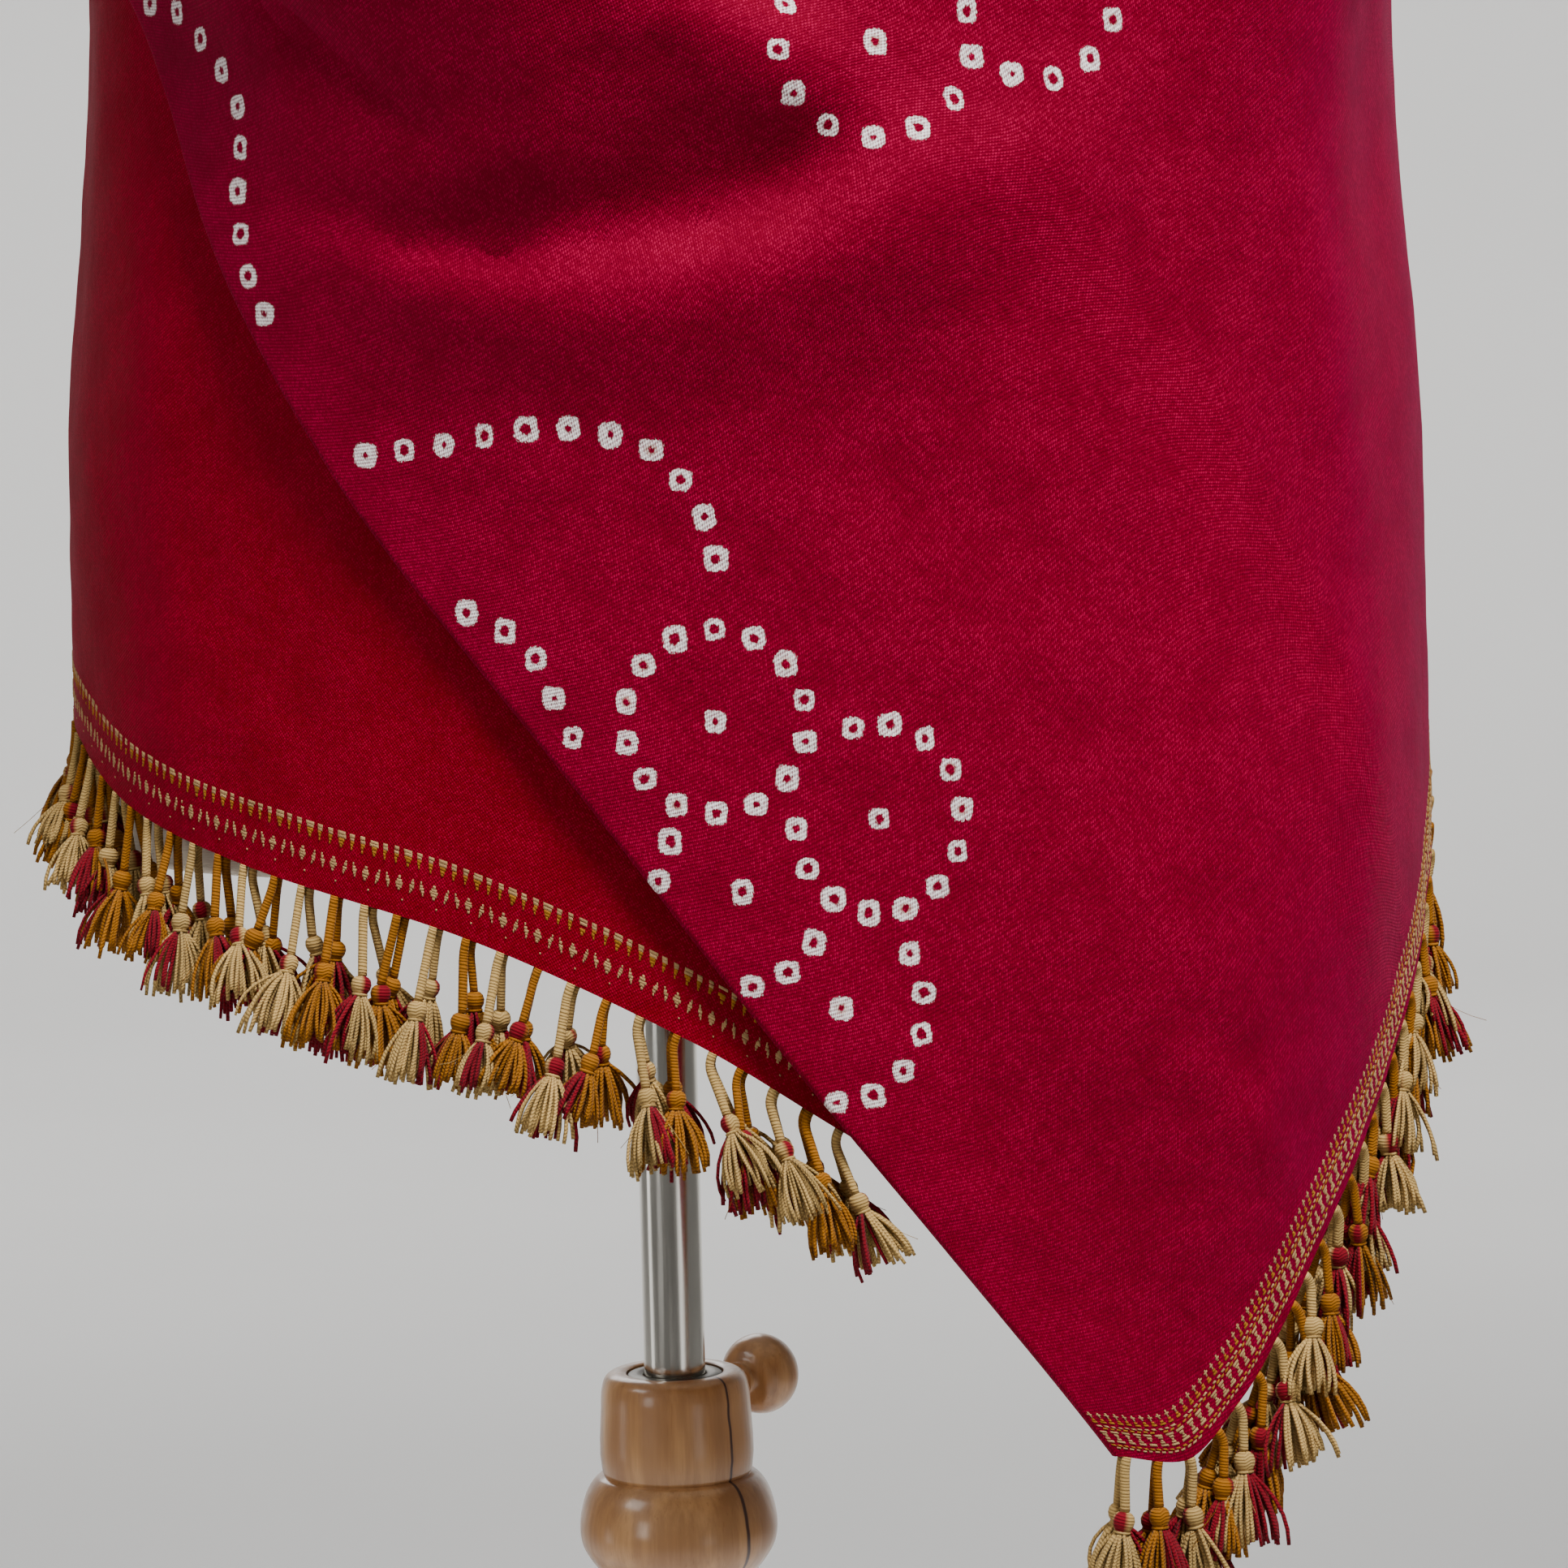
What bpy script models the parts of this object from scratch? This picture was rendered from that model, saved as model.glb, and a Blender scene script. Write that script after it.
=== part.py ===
# Wool shawl wound once and a half round a limbless dress form that stands on a turned wooden stand
# Metres, +Z up. The origin is on the floor under the pole, the front faces -Y.
# Angles round the form are in degrees: 0 is the front, 90 the side at +X, 180 the back, -90 the side at -X.

import math

import bmesh
import bpy
from mathutils import Vector

# Shawl, folded lengthwise; its stretches meet at two joins
foldedWidth = 0.50
wallThickness = 0.003
layerPitch = 0.0070
seamGap = 0.0003
wrapStart = -153.0
shoulderJoin = 75.0
sideJoin = 270.0
wrapEnd = 500.0

# Tassels
tasselSpacing = 0.0106
tasselsOnFrontPly = round(foldedWidth / tasselSpacing)
tasselsOnRearPly = 24
plyThickness = 0.0012
stripDepth = 0.0040
rootWidth = 0.0026
cordLength = 0.019
headLength = 0.0045
skirtLength = 0.0185
headSize = 0.0046
skirtSize = 0.0066
cordSize = 0.0026
outerLean = 0.30
innerLean = 0.0

# Dress form
rimHeight = 0.775
formSides = 32
neckTop = 1.470
socketDepth = 0.025

# Stand
postTop = 0.614
postBottom = 0.150
poleRadius = 0.0095
slideGap = 0.0003
poleBottom = 0.360
boreBottom = 0.235
collarTop = 0.7664
collarRadius = 0.016
flangeRadius = 0.034
legBlockRadius = 0.030
legThickness = 0.022
legRounding = 0.003
legAzimuths = (0.0, 90.0, 180.0, 270.0)
knobBearing = 55.6
knobHeight = 0.6045
screwRadius = 0.0030
roundSides = 24


# Tables and curves

def table(columns, *rows):
    names = columns.split()
    return [dict(zip(names, row)) for row in rows]


def readTable(rows, key, place):
    """All columns of a table at a place between its rows, along smooth curves that do not overshoot."""
    names = [name for name in rows[0] if name != key]
    xs = [row[key] for row in rows]
    place = min(max(place, xs[0]), xs[-1])
    left = max(i for i in range(len(xs) - 1) if xs[i] <= place or i == 0)
    span = xs[left + 1] - xs[left]
    share = (place - xs[left]) / span
    found = {}
    for name in names:
        slopes = [(rows[i + 1][name] - rows[i][name]) / (xs[i + 1] - xs[i]) for i in range(len(xs) - 1)]

        def tangent(i):
            if i == 0:
                return slopes[0]
            if i == len(xs) - 1:
                return slopes[-1]
            before, after = slopes[i - 1], slopes[i]
            if before * after <= 0:
                return 0.0
            return 2 * before * after / (before + after)

        a, b = rows[left][name], rows[left + 1][name]
        ta, tb = tangent(left) * span, tangent(left + 1) * span
        u = share
        found[name] = (a * (2 * u**3 - 3 * u**2 + 1) + ta * (u**3 - 2 * u**2 + u)
                       + b * (3 * u**2 - 2 * u**3) + tb * (u**3 - u**2))
    return found


# The drape surface: rings round the form, from below the lowest corner up to the neck.
# level runs up the cloth in metres; each ring may be lower at the shoulders than at the front.
drapeRings = table(
    "level zFront zSide halfWidth depthFront depthBack centre",
    (0.550, 0.550, 0.550, 0.1990, 0.143, 0.128, 0.0247),
    (0.800, 0.800, 0.800, 0.1984, 0.143, 0.128, 0.0247),
    (0.920, 0.920, 0.920, 0.1965, 0.143, 0.128, 0.0255),
    (1.040, 1.040, 1.040, 0.1890, 0.141, 0.127, 0.0270),
    (1.160, 1.160, 1.160, 0.1860, 0.136, 0.123, 0.0220),
    (1.260, 1.258, 1.256, 0.1880, 0.124, 0.119, 0.0120),
    (1.320, 1.314, 1.302, 0.1840, 0.110, 0.111, 0.0050),
    (1.370, 1.357, 1.338, 0.1600, 0.097, 0.100, 0.0000),
    (1.410, 1.388, 1.368, 0.1250, 0.087, 0.090, 0.0000),
    (1.450, 1.418, 1.400, 0.0920, 0.079, 0.081, 0.0000),
    (1.485, 1.447, 1.432, 0.0770, 0.072, 0.073, 0.0000),
)
neckLevel = 1.478


def drapePoint(angle, level):
    ring = readTable(drapeRings, "level", level)
    turn = math.radians(angle)
    sine, cosine = math.sin(turn), math.cos(turn)
    depth = ring["depthFront"] if cosine > 0 else ring["depthBack"]
    height = ring["zFront"] + (ring["zSide"] - ring["zFront"]) * sine * sine
    return Vector((ring["centre"] + ring["halfWidth"] * sine, -depth * cosine, height))


def drapeNormal(angle, level):
    alongTurn = drapePoint(angle + 0.5, level) - drapePoint(angle - 0.5, level)
    upward = drapePoint(angle, level + 0.004) - drapePoint(angle, level - 0.004)
    return alongTurn.cross(upward).normalized()


def clothPoint(angle, level, out):
    """A point moved out of the drape surface; each turn of the wrap lies one pitch outside the last."""
    layer = layerPitch * (angle - wrapStart) / 360
    return drapePoint(angle, level) + drapeNormal(angle, level) * (layer + out)


# Folds: each is a ridge that sags from its left end to its low point and rises to its right end.
overFolds = table(
    "left low right lowLevel rise width height",
    (-50, -6, 38, 0.953, 0.075, 0.020, 0.0100),
    (-52, -10, 40, 1.018, 0.085, 0.018, 0.0080),
    (-62, -10, 46, 1.090, 0.095, 0.024, 0.0140),
    (-70, -8, 52, 1.172, 0.095, 0.026, 0.0160),
    (-76, -6, 58, 1.255, 0.080, 0.026, 0.0160),
    (-80, -4, 62, 1.335, 0.050, 0.022, 0.0120),
)
backFolds = table(
    "left low right lowLevel rise width height",
    (96, 178, 262, 1.245, 0.110, 0.026, 0.0080),
    (104, 182, 258, 1.335, 0.075, 0.024, 0.0080),
    (130, 186, 262, 1.120, 0.120, 0.026, 0.0060),
)
underFolds = table(
    "left low right lowLevel rise width height",
    (-120, -70, -20, 0.900, 0.160, 0.024, 0.0012),
)


def foldLift(folds, angle, level):
    lift = 0.0
    for fold in folds:
        end = fold["left"] if angle < fold["low"] else fold["right"]
        reach = (angle - fold["low"]) / (end - fold["low"])
        if reach < 1:
            ridge = fold["lowLevel"] + fold["rise"] * reach**2.4
            across = (level - ridge) / fold["width"]
            lift += fold["height"] * math.exp(-across * across) * (1 - reach**3)
    return lift


# The three stretches of the wrap. start and end run across the strip, from its fold (share 0) to its
# selvages (share 1); fold and selvage run along it. Each turn of the wrap adds 360 to the angle.
underStretch = {
    "start": table(
        "share angle level",
        (0.0, 8.5, 0.709), (0.1, -4.0, 0.737), (0.25, -24.0, 0.768), (0.4, -45.0, 0.787),
        (0.6, -80.0, 0.803), (0.8, -115.0, 0.812), (1.0, -152.0, 0.826)),
    "end": table("share angle level", (0.0, shoulderJoin, 1.180), (1.0, shoulderJoin, neckLevel)),
    "fold": table(
        "share angle level",
        (0.0, 8.5, 0.709), (0.2, 15.0, 0.815), (0.4, 24.0, 0.920), (0.6, 37.0, 1.030),
        (0.8, 55.0, 1.120), (1.0, shoulderJoin, 1.180)),
    "selvage": table(
        "share angle level",
        (0.0, -152.0, 0.826), (0.2, -146.0, 1.010), (0.4, -132.0, 1.190), (0.6, -98.0, 1.350),
        (0.8, -30.0, 1.450), (1.0, shoulderJoin, neckLevel)),
    "folds": underFolds,
    "stepsAlong": 18,
    "stepsAcross": 16,
}
backStretch = {
    "start": table("share angle level", (0.0, shoulderJoin, 1.180), (1.0, shoulderJoin, neckLevel)),
    "end": table("share angle level", (0.0, sideJoin, 1.098), (1.0, sideJoin, neckLevel)),
    "fold": table(
        "share angle level",
        (0.0, shoulderJoin, 1.180), (0.25, 110.0, 1.095), (0.5, 165.0, 0.985), (0.7, 210.0, 0.985),
        (0.85, 240.0, 1.040), (1.0, sideJoin, 1.098)),
    "selvage": table("share angle level", (0.0, shoulderJoin, neckLevel), (1.0, sideJoin, neckLevel)),
    "folds": backFolds,
    "stepsAlong": 18,
    "stepsAcross": 12,
}
overStretch = {
    "start": table("share angle level", (0.0, sideJoin, 1.098), (1.0, sideJoin, neckLevel)),
    "end": table(
        "share angle level",
        (0.0, 389.5, 0.6150), (0.05, 395.5, 0.6110), (0.1, 401.5, 0.6260), (0.2, 411.5, 0.6710),
        (0.3, 422.0, 0.7120), (0.4, 433.5, 0.7500), (0.5, 445.0, 0.7850), (0.62, 459.0, 0.8280),
        (0.75, 474.5, 0.8780), (1.0, wrapEnd, 0.9700)),
    "fold": table(
        "share angle level",
        (0.0, sideJoin, 1.098), (0.15, 290.0, 1.062), (0.24, 302.5, 1.0300), (0.36, 315.0, 0.9640),
        (0.50, 328.0, 0.8970), (0.66, 346.0, 0.8190), (0.82, 366.0, 0.7230), (0.93, 381.0, 0.6540),
        (1.0, 389.5, 0.6150)),
    "selvage": table(
        "share angle level",
        (0.0, sideJoin, neckLevel), (0.15, 300.0, 1.455), (0.32, 340.0, 1.405), (0.50, 380.0, 1.395),
        (0.66, 420.0, 1.400), (0.80, 455.0, 1.330), (0.91, 482.0, 1.160), (1.0, wrapEnd, 0.970)),
    "folds": overFolds,
    "stepsAlong": 28,
    "stepsAcross": 20,
}


def stretchPlace(stretch, along, across):
    """Angle and level at a share along and across a stretch, blended between its four edges."""
    start = readTable(stretch["start"], "share", across)
    end = readTable(stretch["end"], "share", across)
    fold = readTable(stretch["fold"], "share", along)
    selvage = readTable(stretch["selvage"], "share", along)
    corners = {(0, 0): stretch["start"][0], (0, 1): stretch["start"][-1],
               (1, 0): stretch["end"][0], (1, 1): stretch["end"][-1]}
    place = []
    for name in ("angle", "level"):
        between = (1 - along) * start[name] + along * end[name]
        between += (1 - across) * fold[name] + across * selvage[name]
        twice = sum(corners[i, j][name] * (along if i else 1 - along) * (across if j else 1 - across)
                    for i, j in corners)
        place.append(between - twice)
    return place


def stretchPoint(stretch, along, across, out):
    angle, level = stretchPlace(stretch, along, across)
    turnBack = 360 if stretch is overStretch else 0
    lift = foldLift(stretch["folds"], angle - turnBack, level)
    return clothPoint(angle, level, out + lift)


# Materials and objects

def makeMaterial(name, colour, roughness, metallic=0.0):
    material = bpy.data.materials.new(name)
    material.use_nodes = True
    shader = material.node_tree.nodes["Principled BSDF"]
    shader.inputs["Base Color"].default_value = (*colour, 1.0)
    shader.inputs["Roughness"].default_value = roughness
    shader.inputs["Metallic"].default_value = metallic
    material.diffuse_color = (*colour, 1.0)
    return material


def addObject(name, mesh, material, collection):
    thing = bpy.data.objects.new(name, mesh)
    mesh.materials.append(material)
    collection.objects.link(thing)
    return thing


def meshFrom(name, points, faces):
    mesh = bpy.data.meshes.new(name)
    mesh.from_pydata([tuple(p) for p in points], [], faces)
    form = bmesh.new()
    form.from_mesh(mesh)
    bmesh.ops.recalc_face_normals(form, faces=form.faces)
    form.to_mesh(mesh)
    form.free()
    mesh.shade_smooth()
    mesh.set_sharp_from_angle(angle=math.radians(50))
    return mesh


def makeStretch(name, stretch, trims, material, collection):
    """One stretch of the folded cloth: a closed wall with a rounded edge along its fold."""
    points = []
    stepsAlong, stepsAcross = stretch["stepsAlong"], stretch["stepsAcross"]

    def shares(steps, low, high):
        return [low + (high - low) * i / steps for i in range(steps + 1)]

    alongs = shares(stepsAlong, trims[0], 1 - trims[1])
    acrosses = shares(stepsAcross, 0.0, 1.0)
    outer, inner, rounded = [], [], []
    for along in alongs:
        outer.append([])
        inner.append([])
        for across in acrosses:
            outer[-1].append(len(points))
            points.append(stretchPoint(stretch, along, across, wallThickness))
        for across in acrosses:
            inner[-1].append(len(points))
            points.append(stretchPoint(stretch, along, across, 0.0))
        middle = stretchPoint(stretch, along, 0.0, wallThickness / 2)
        inside = stretchPoint(stretch, along, 0.02, wallThickness / 2)
        rounded.append(len(points))
        points.append(middle + (middle - inside).normalized() * wallThickness * 0.4)
    faces = []
    for i in range(stepsAlong):
        for j in range(stepsAcross):
            faces.append((outer[i][j], outer[i][j + 1], outer[i + 1][j + 1], outer[i + 1][j]))
            faces.append((inner[i][j], inner[i + 1][j], inner[i + 1][j + 1], inner[i][j + 1]))
        faces.append((outer[i][0], outer[i + 1][0], rounded[i + 1], rounded[i]))
        faces.append((rounded[i], rounded[i + 1], inner[i + 1][0], inner[i][0]))
        faces.append((outer[i][-1], inner[i][-1], inner[i + 1][-1], outer[i + 1][-1]))
    for i in (0, stepsAlong):
        faces.append((outer[i][0], rounded[i], inner[i][0]))
        for j in range(stepsAcross):
            faces.append((outer[i][j], inner[i][j], inner[i][j + 1], outer[i][j + 1]))
    return addObject(name, meshFrom(name, points, faces), material, collection)


# Fringe: a narrow strip along one ply's hem, with the tassels' roots fused into it

def edgePoint(stretch, along, across, out):
    """A point on the straight runs between the wall's own points across the strip."""
    steps = stretch["stepsAcross"]
    run = min(int(across * steps), steps - 1)
    low = stretchPoint(stretch, along, run / steps, out)
    high = stretchPoint(stretch, along, (run + 1) / steps, out)
    return low.lerp(high, across * steps - run)


def hemFrame(stretch, atStart, across, out):
    """Point, direction along the hem, direction off the cloth's end and outward normal at a hem."""
    end, inside = (0.0, 0.01) if atStart else (1.0, 0.99)
    point = edgePoint(stretch, end, across, out)
    low, high = max(across - 0.004, 0.0), min(across + 0.004, 1.0)
    alongHem = (edgePoint(stretch, end, high, out) - edgePoint(stretch, end, low, out)).normalized()
    normal = drapeNormal(*stretchPlace(stretch, end, across))
    offEnd = point - edgePoint(stretch, inside, across, out)
    normal = (normal - alongHem * normal.dot(alongHem)).normalized()
    offEnd -= alongHem * offEnd.dot(alongHem)
    offEnd -= normal * offEnd.dot(normal)
    return point, alongHem, offEnd.normalized(), normal


def hemShares(stretch, atStart, out, count, shift):
    """Shares across the strip at which the hem is divided into equal lengths."""
    end = 0.0 if atStart else 1.0
    fine = 400
    lengths = [0.0]
    last = edgePoint(stretch, end, 0.0, out)
    for i in range(1, fine + 1):
        point = edgePoint(stretch, end, i / fine, out)
        lengths.append(lengths[-1] + (point - last).length)
        last = point
    total = lengths[-1]

    def shareAt(length):
        k = next((i for i in range(1, fine + 1) if lengths[i] >= length), fine)
        step = lengths[k] - lengths[k - 1]
        return (k - 1 + (length - lengths[k - 1]) / step) / fine

    spacing = total / count
    steps = stretch["stepsAcross"]
    roots = []
    for k in range(count):
        low = shareAt((k + shift) * spacing - rootWidth / 2)
        width = shareAt((k + shift) * spacing + rootWidth / 2) - low
        corner = math.ceil(low * steps) / steps
        if corner < low + width:
            low = corner + 0.0004
        roots.append((low, low + width))
    return roots


def tasselRings(root, alongHem, offEnd, normal, lean):
    """The corners of a tassel's cord end, head and skirt end, hanging from its root."""
    down = Vector((0, 0, -1))
    level = Vector((alongHem.x, alongHem.y, 0)).normalized()
    outward = Vector((normal.x, normal.y, 0)).normalized()
    stops = [(cordLength, cordSize), (cordLength + headLength, headSize),
             (cordLength + headLength + skirtLength, skirtSize)]
    rings = []
    place, run, step = root.copy(), 0.0, 0.0005
    for length, size in stops:
        while run < length:
            ease = min(run / 0.010, 1.0)
            heading = (offEnd * (1 - ease) + (down + outward * lean) * ease).normalized()
            place += heading * step
            run += step
        half = size / 2
        rings.append([place - level * half - outward * half, place - level * half + outward * half,
                      place + level * half + outward * half, place + level * half - outward * half])
    return rings


def makeFringe(name, stretch, atStart, out, count, shift, lean, material, collection):
    points, faces = [], []
    roots = hemShares(stretch, atStart, out, count, shift)
    steps = stretch["stepsAcross"]
    shares = [0.001, 0.999] + [k / steps for k in range(1, steps)]
    shares = sorted(shares + [share for pair in roots for share in pair])
    sections = []
    for share in shares:
        point, alongHem, offEnd, normal = hemFrame(stretch, atStart, share, out)
        near, far = point + offEnd * seamGap, point + offEnd * (seamGap + stripDepth)
        half = normal * plyThickness / 2
        sections.append(len(points))
        points += [near - half, near + half, far + half, far - half]
    starts = {pair[0] for pair in roots}
    for i in range(len(shares) - 1):
        a, b = sections[i], sections[i + 1]
        for j in range(3):
            if j != 2 or shares[i] not in starts:
                faces.append((a + j, b + j, b + (j + 1), a + (j + 1)))
        faces.append((a + 3, b + 3, b, a))
        if shares[i] in starts:
            middle = (shares[i] + shares[i + 1]) / 2
            point, alongHem, offEnd, normal = hemFrame(stretch, atStart, middle, out)
            root = point + offEnd * (seamGap + stripDepth)
            ring = [a + 3, a + 2, b + 2, b + 3]
            for corners in tasselRings(root, alongHem, offEnd, normal, lean):
                first = len(points)
                points += corners
                lower = [first, first + 1, first + 2, first + 3]
                for k in range(4):
                    faces.append((ring[k], ring[(k + 1) % 4], lower[(k + 1) % 4], lower[k]))
                ring = lower
            faces.append(tuple(ring))
    faces.append(tuple(sections[0] + j for j in range(4)))
    faces.append(tuple(sections[-1] + j for j in range(4)))
    return addObject(name, meshFrom(name, points, faces), material, collection)


# Dress form: rings from the underside's socket, round the rim and up to the neck
formRings = table(
    "level zFront zSide halfWidth depthFront depthBack",
    (0.7750, 0.7750, 0.7750, 0.1600, 0.1180, 0.1090),
    (0.7775, 0.7775, 0.7775, 0.1645, 0.1225, 0.1130),
    (0.7850, 0.7850, 0.7850, 0.1665, 0.1240, 0.1145),
    (0.8600, 0.8600, 0.8600, 0.1680, 0.1250, 0.1170),
    (0.9300, 0.9300, 0.9300, 0.1520, 0.1110, 0.1020),
    (1.0000, 1.0000, 1.0000, 0.1310, 0.0960, 0.0860),
    (1.0700, 1.0700, 1.0700, 0.1340, 0.1010, 0.0880),
    (1.1550, 1.1550, 1.1550, 0.1500, 0.1230, 0.0990),
    (1.2100, 1.2100, 1.2080, 0.1630, 0.1150, 0.1030),
    (1.2600, 1.2590, 1.2560, 0.1730, 0.1060, 0.1060),
    (1.3200, 1.3130, 1.3000, 0.1762, 0.0985, 0.1030),
    (1.3700, 1.3550, 1.3360, 0.1580, 0.0900, 0.0940),
    (1.4100, 1.3850, 1.3650, 0.1210, 0.0800, 0.0830),
    (1.4300, 1.4000, 1.3850, 0.0880, 0.0690, 0.0710),
    (1.4500, 1.4160, 1.4060, 0.0660, 0.0600, 0.0610),
    (1.4700, 1.4370, 1.4320, 0.0560, 0.0555, 0.0560),
    (1.5000, 1.4700, 1.4700, 0.0530, 0.0530, 0.0530),
)


def makeForm(name, material, collection):
    """The torso, whole and smooth, with a socket for the pole in its flat underside."""
    levels = [0.7750, 0.7775, 0.7850, 0.8300, 0.8700, 0.9200, 0.9650, 1.0100, 1.0600, 1.1100, 1.1550,
              1.2000, 1.2350, 1.2700, 1.3000, 1.3250, 1.3500, 1.3750, 1.4000, 1.4200, 1.4400, 1.4700, 1.5000]
    socketRadius = poleRadius + slideGap
    points, rings = [], []

    def addRing(widest, front, back, zFront, zSide):
        rings.append([len(points) + i for i in range(formSides)])
        for i in range(formSides):
            turn = 2 * math.pi * i / formSides
            depth = front if math.cos(turn) > 0 else back
            height = zFront + (zSide - zFront) * math.sin(turn)**2
            points.append(Vector((widest * math.sin(turn), -depth * math.cos(turn), height)))

    for z in (rimHeight + socketDepth, rimHeight):
        addRing(socketRadius, socketRadius, socketRadius, z, z)
    for level in levels:
        ring = readTable(formRings, "level", level)
        addRing(ring["halfWidth"], ring["depthFront"], ring["depthBack"], ring["zFront"], ring["zSide"])
    faces = [tuple(rings[0]), tuple(rings[-1])]
    for low, high in zip(rings, rings[1:]):
        for i in range(formSides):
            k = (i + 1) % formSides
            faces.append((low[i], low[k], high[k], high[i]))
    return addObject(name, meshFrom(name, points, faces), material, collection)


# Turned pieces

def makeTurned(name, profile, material, collection, sides=roundSides):
    """A profile of (radius, height) points, run down its outer side, turned about Z."""
    mesh = bpy.data.meshes.new(name)
    mesh.from_pydata([(r, 0, z) for r, z in profile], [(i, i + 1) for i in range(len(profile) - 1)], [])
    thing = addObject(name, mesh, material, collection)
    turn = thing.modifiers.new("Turn", "SCREW")
    turn.axis = "Z"
    turn.steps = turn.render_steps = sides
    turn.use_merge_vertices = True
    turn.merge_threshold = 0.00001
    return thing


def makePole(material, collection):
    """The pole, with the collar that the form turns on."""
    top = rimHeight + socketDepth - 0.0035
    collarEdge, collarBottom = collarTop - 0.012, collarTop - 0.0145
    profile = [(0, top), (poleRadius - 0.001, top), (poleRadius, top - 0.001), (poleRadius, collarTop),
               (collarRadius, collarTop), (collarRadius, collarEdge), (collarRadius - 0.0015, collarBottom),
               (poleRadius, collarBottom), (poleRadius, poleBottom + 0.001), (poleRadius - 0.001, poleBottom),
               (0, poleBottom)]
    return makeTurned("pole", profile, material, collection)


def makeFlange(material, collection):
    """The metal flange under the form, which rests on the pole's collar."""
    bottom, top = collarTop + seamGap, rimHeight - seamGap
    bore, face = poleRadius + slideGap, flangeRadius - 0.002
    profile = [(bore, top), (face, top), (flangeRadius, top - 0.0015), (flangeRadius, bottom + 0.002),
               (face, bottom), (bore, bottom), (bore, top)]
    return makeTurned("form_flange", profile, material, collection)


def makeNeckCap(material, collection):
    profile = [(0, 1.5160), (0.0065, 1.5148), (0.0108, 1.5085), (0.0090, 1.5030), (0.0070, 1.4995),
               (0.0300, 1.4970), (0.0490, 1.4925), (0.0550, 1.4830), (0.0535, 1.4750), (0.0505, 1.4725),
               (0.0505, neckTop + seamGap), (0, neckTop + seamGap)]
    return makeTurned("neck_cap", profile, material, collection)


def makePost(material, collection, cutters):
    """The turned post: clamp head, flange bead, vase and leg block, bored for the pole and the screw."""
    bore = poleRadius + slideGap
    profile = [(0, boreBottom), (bore, boreBottom), (bore, postTop - 0.0020), (0.0150, postTop - 0.0004),
               (0.0185, postTop), (0.0212, postTop - 0.0012), (0.0230, postTop - 0.0050),
               (0.0238, postTop - 0.0110), (0.0238, 0.5830), (0.0246, 0.5800), (0.0278, 0.5752),
               (0.0301, 0.5706), (0.0308, 0.5651), (0.0299, 0.5600), (0.0272, 0.5558), (0.0244, 0.5525),
               (0.0236, 0.5480), (0.0232, 0.5300), (0.0205, 0.5240), (0.0190, 0.5180), (0.0205, 0.5120),
               (0.0255, 0.4950), (0.0272, 0.4750), (0.0262, 0.4480), (0.0222, 0.4120), (0.0185, 0.3750),
               (0.0172, 0.3480), (0.0180, 0.3250), (0.0225, 0.3160), (0.0240, 0.3080), (0.0225, 0.3000),
               (0.0205, 0.2960), (0.0225, 0.2850), (legBlockRadius, 0.2780), (legBlockRadius, 0.1760),
               (0.0270, 0.1700), (0.0160, 0.1660), (0.0190, 0.1600), (0.0150, 0.1525), (0, postBottom)]
    post = makeTurned("stand_post", profile, material, collection)
    drillStart, drillLength = 0.0065, 0.030
    bpy.ops.mesh.primitive_cylinder_add(vertices=16, radius=screwRadius + slideGap, depth=drillLength)
    drill = bpy.context.object
    drill.name = "screw_hole_cutter"
    direction = knobDirection()
    drill.location = direction * (drillStart + drillLength / 2) + Vector((0, 0, knobHeight))
    drill.rotation_euler = direction.to_track_quat("Z", "Y").to_euler()
    moveToCollection(drill, cutters)
    hideCutter(drill)
    cut = post.modifiers.new("Screw hole", "BOOLEAN")
    cut.operation = "DIFFERENCE"
    cut.object = drill
    return post


def knobDirection():
    turn = math.radians(knobBearing)
    return Vector((math.cos(turn), math.sin(turn), 0))


def makeKnob(wood, steel, collection):
    """The clamping screw and its ball knob, each turned and laid along the screw's axis."""
    direction = knobDirection()
    turn = direction.to_track_quat("Z", "Y").to_euler()
    ballStart, ballEnd, ballRadius = 0.0330, 0.0575, 0.0128
    screwStart, screwEnd = poleRadius + slideGap, ballStart + 0.012
    shank = [(0, screwEnd), (screwRadius, screwEnd), (screwRadius, screwStart + 0.0005),
             (screwRadius - 0.0005, screwStart), (0, screwStart)]
    screw = makeTurned("clamp_screw", shank, steel, collection, 12)
    socket = screwRadius + slideGap
    middle, half = (ballStart + ballEnd) / 2 + 0.0010, (ballEnd - ballStart) / 2 - 0.0010
    outline = []
    for i in range(8):
        bend = math.radians(90 - i * 22.5)
        outline.append((ballRadius * math.cos(bend) if i else 0, middle + half * math.sin(bend)))
    outline += [(0.0058, ballStart + 0.0012), (0.0058, ballStart), (socket, ballStart),
                (socket, screwEnd + slideGap), (0, screwEnd + slideGap)]
    knob = makeTurned("clamp_knob", outline, wood, collection, 20)
    for thing in (screw, knob):
        thing.location = (0, 0, knobHeight)
        thing.rotation_euler = turn
    return screw, knob


# Legs
legOutline = table(
    "x top bottom",
    (0.016, 0.2620, 0.1860),
    (0.036, 0.2610, 0.1850),
    (0.062, 0.2510, 0.1760),
    (0.092, 0.2240, 0.1500),
    (0.122, 0.1850, 0.1170),
    (0.152, 0.1420, 0.0830),
    (0.182, 0.1030, 0.0530),
    (0.212, 0.0720, 0.0280),
    (0.242, 0.0490, 0.0090),
    (0.258, 0.0410, 0.0000),
    (0.282, 0.0320, 0.0000),
    (0.294, 0.0200, 0.0000),
)


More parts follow.
